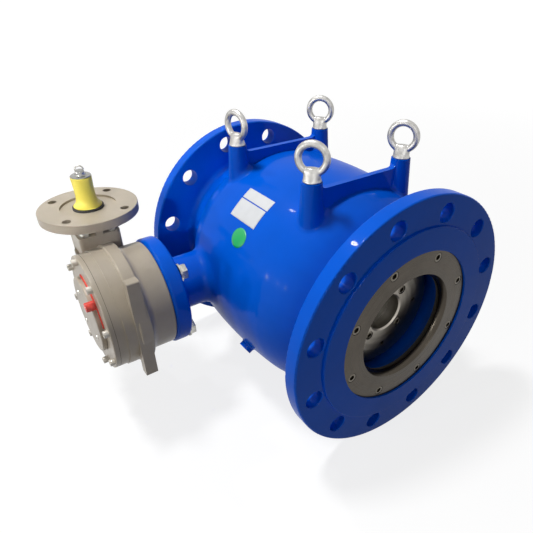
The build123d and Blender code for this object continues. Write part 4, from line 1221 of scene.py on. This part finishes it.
@dataclass
class Studio:
    """Floor, soft light and camera.

    Attributes:
        floor: Height of the floor.
        eye: The camera's place.
        right: Its picture's right.
        ahead: Where it looks.
        lens: Its focal length in millimetres.
        shift: Its lens shift, as shares of the picture.
        daylight: Strength of the surroundings as a light.
        floor_grey: How much light the floor throws back.
        floor_glow: What the floor adds to that near the valve and far off.
        glow_reach: Distances from the origin, in metres, between which that changes.
        lamps: The lamps.
    """

    floor: float
    eye: tuple[float, float, float] = (0.6718, -0.3816, 0.3654)
    right: tuple[float, float, float] = (0.58855, 0.80846, 0.00193)
    ahead: tuple[float, float, float] = (-0.67301, 0.49126, -0.55292)
    lens: float = 32.09
    shift: tuple[float, float] = (-0.0538, 0.036)
    daylight: float = 0.1
    floor_grey: float = 0.24
    floor_glow: tuple[float, float] = (0.8, 1.0)
    glow_reach: tuple[float, float] = (0.5, 2.6)
    lamps: tuple[Lamp, ...] = (
        Lamp("overhead", (-0.2, -0.55, 1.95), (0.34, 0.26), 30.0),
        Lamp("side", (1.6, -0.7, 0.8), (0.5, 0.5), 2.6),
        Lamp("left", (-0.96, -0.45, 1.68), (0.09, 0.09), 4.0),
        Lamp("sleeve", (0.85, -1.2, 0.55), (0.1, 0.1), 0.07, (0.046, -0.261, 0.15), 14.0),
        *(Lamp("row", (x, -2.05, 0.38), (0.09, 0.09), 4.2) for x in (-0.47, 0.11, 0.54)),
    )

    def world(self) -> None:
        """White surroundings, weaker as a light than they look."""
        world = bpy.data.worlds.new("studio")
        world.use_nodes = True
        wiring = Wiring(world.node_tree)
        surface = world.node_tree.nodes["Background"]
        strength = wiring.span(wiring.seen_plainly(), 0.0, 1.0, self.daylight, 1.0)
        wiring.feed(surface, {"Color": WHITE, "Strength": strength})
        bpy.context.scene.world = world

    def ground(self) -> None:
        """Pale floor that keeps a faint shadow."""
        bpy.ops.mesh.primitive_grid_add(
            x_subdivisions=2, y_subdivisions=2, size=120.0, location=(0, 0, 0)
        )
        floor = bpy.context.active_object
        floor.name = "floor"
        floor.data.transform(Matrix.Translation((0, 0, self.floor)))
        made = bpy.data.materials.new("floor_pale")
        made.use_nodes = True
        wiring = Wiring(made.node_tree)
        nodes = made.node_tree.nodes
        nodes.remove(nodes["Principled BSDF"])
        matte = wiring.add("ShaderNodeBsdfDiffuse", {"Color": (*[self.floor_grey] * 3, 1.0)})
        place = wiring.add("ShaderNodeTexCoord").outputs["Object"]
        away = wiring.add("ShaderNodeVectorMath", {0: place}, operation="LENGTH").outputs["Value"]
        whitened = wiring.span(away, *self.glow_reach, *self.floor_glow)
        strength = wiring.math("MULTIPLY", wiring.seen_plainly(), whitened)
        glow = wiring.add("ShaderNodeEmission", {"Color": WHITE, "Strength": strength})
        both = wiring.add("ShaderNodeAddShader", {0: matte.outputs[0], 1: glow.outputs[0]})
        made.node_tree.links.new(both.outputs[0], nodes["Material Output"].inputs["Surface"])
        floor.data.materials.append(made)
        floor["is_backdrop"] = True

    def camera(self) -> None:
        """Sets the camera at the photograph's angle."""
        data = bpy.data.cameras.new("photo_camera")
        data.sensor_fit = "HORIZONTAL"
        data.sensor_width = 36.0
        data.lens = self.lens
        data.shift_x, data.shift_y = self.shift
        data.clip_start = 0.01
        view = put_in_scene("photo_camera", data)
        ahead = Vector(self.ahead).normalized()
        right = Vector(self.right).normalized()
        up = right.cross(ahead).normalized()
        turn = Matrix((right, up, -ahead)).transposed().to_4x4()
        view.matrix_world = Matrix.Translation(self.eye) @ turn
        bpy.context.scene.camera = view

    def build(self) -> None:
        """Sets the floor, the light and the camera."""
        bpy.context.scene.view_settings.view_transform = "Standard"
        self.world()
        self.ground()
        for lamp in self.lamps:
            lamp.build()
        self.camera()


def screw_sets() -> list[ScrewSet]:
    """Names every visible set of screws.

    Returns:
        The sets.
    """
    steel, zinc, grey = Finishes.stainless_screw, Finishes.screw_zinc, Finishes.screw_grey
    socket, hexagon = Head.SOCKET, Head.HEXAGON
    flow, drive, back, up = (1.0, 0.0, 0.0), (0.0, -1.0, 0.0), (0.0, 1.0, 0.0), (0.0, 0.0, 1.0)
    eighths = [22.5 + 45 * index for index in range(8)]
    quarters = [45.0 + 90 * index for index in range(4)]
    cover_angles = [10.0 + 45 * index for index in range(8)]
    ring = circle_places((374.5, 0, 0), flow, 94.0, eighths)
    disc = circle_places((337.7, 0, 0), flow, 36.0, quarters)
    cover = circle_places((126.0, -303.5, 0), drive, 70.5, cover_angles)
    indicator = circle_places((126.0, -306.8, 0), drive, 31.5, quarters)
    mounting = circle_places((126.0, -197.5, 0), back, 62.5, quarters)
    corners = [(i * 20.0, j * 17.0) for i in (-1, 1) for j in (-1, 1)]
    adapter = [seat_matrix((46.0 + x, -261.0 + y, 77.0), up) for x, y in corners]
    return [
        ScrewSet("seat_ring_screws", "valve", socket, 8.0, 17.0, ring, steel, "stainless"),
        ScrewSet("plunger_disc_screws", "plunger", socket, 8.0, 16.0, disc, steel, "stainless"),
        ScrewSet("cover_screws", "valve", socket, 6.0, 19.0, cover, grey, "stainless"),
        ScrewSet("indicator_screws", "drive", socket, 4.0, 12.0, indicator, zinc, "zinc"),
        ScrewSet("mounting_bolts", "valve", hexagon, 12.0, 35.0, mounting, zinc, "zinc"),
        ScrewSet("adapter_screws", "valve", hexagon, 8.0, 24.0, adapter, zinc, "zinc"),
    ]


def labels() -> list[Label]:
    """Names the three bare labels.

    Returns:
        The labels.
    """
    return [
        Label("label_strip", (190.5, 54.6), (57.0, 15.4), Finishes.white_vinyl),
        Label("label_panel", (190.0, 46.2), (56.0, 26.3), Finishes.white_vinyl),
        Label("label_oval", (201.0, 34.0), (28.0, 26.0), Finishes.green_vinyl, oval=True),
    ]


def main() -> None:
    """Builds the looks and reports each piece."""
    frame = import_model()
    cad_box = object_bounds()
    pieces = [screws.build() for screws in screw_sets()]
    pieces.append(LiftingEyes().build())
    pieces += ShippingSleeve().build()
    pieces += [label.build() for label in labels()]
    for piece in pieces:
        log.info("built %s with %d faces", piece.name, len(piece.data.polygons))
    dressed = Solids(frame["nodes"]).build()
    log.info("dressed %d nodes", len(dressed))
    Studio(floor=cad_box[0][2]).build()


if __name__ == "__main__":
    logging.basicConfig(level=logging.INFO, format="%(message)s")
    main()
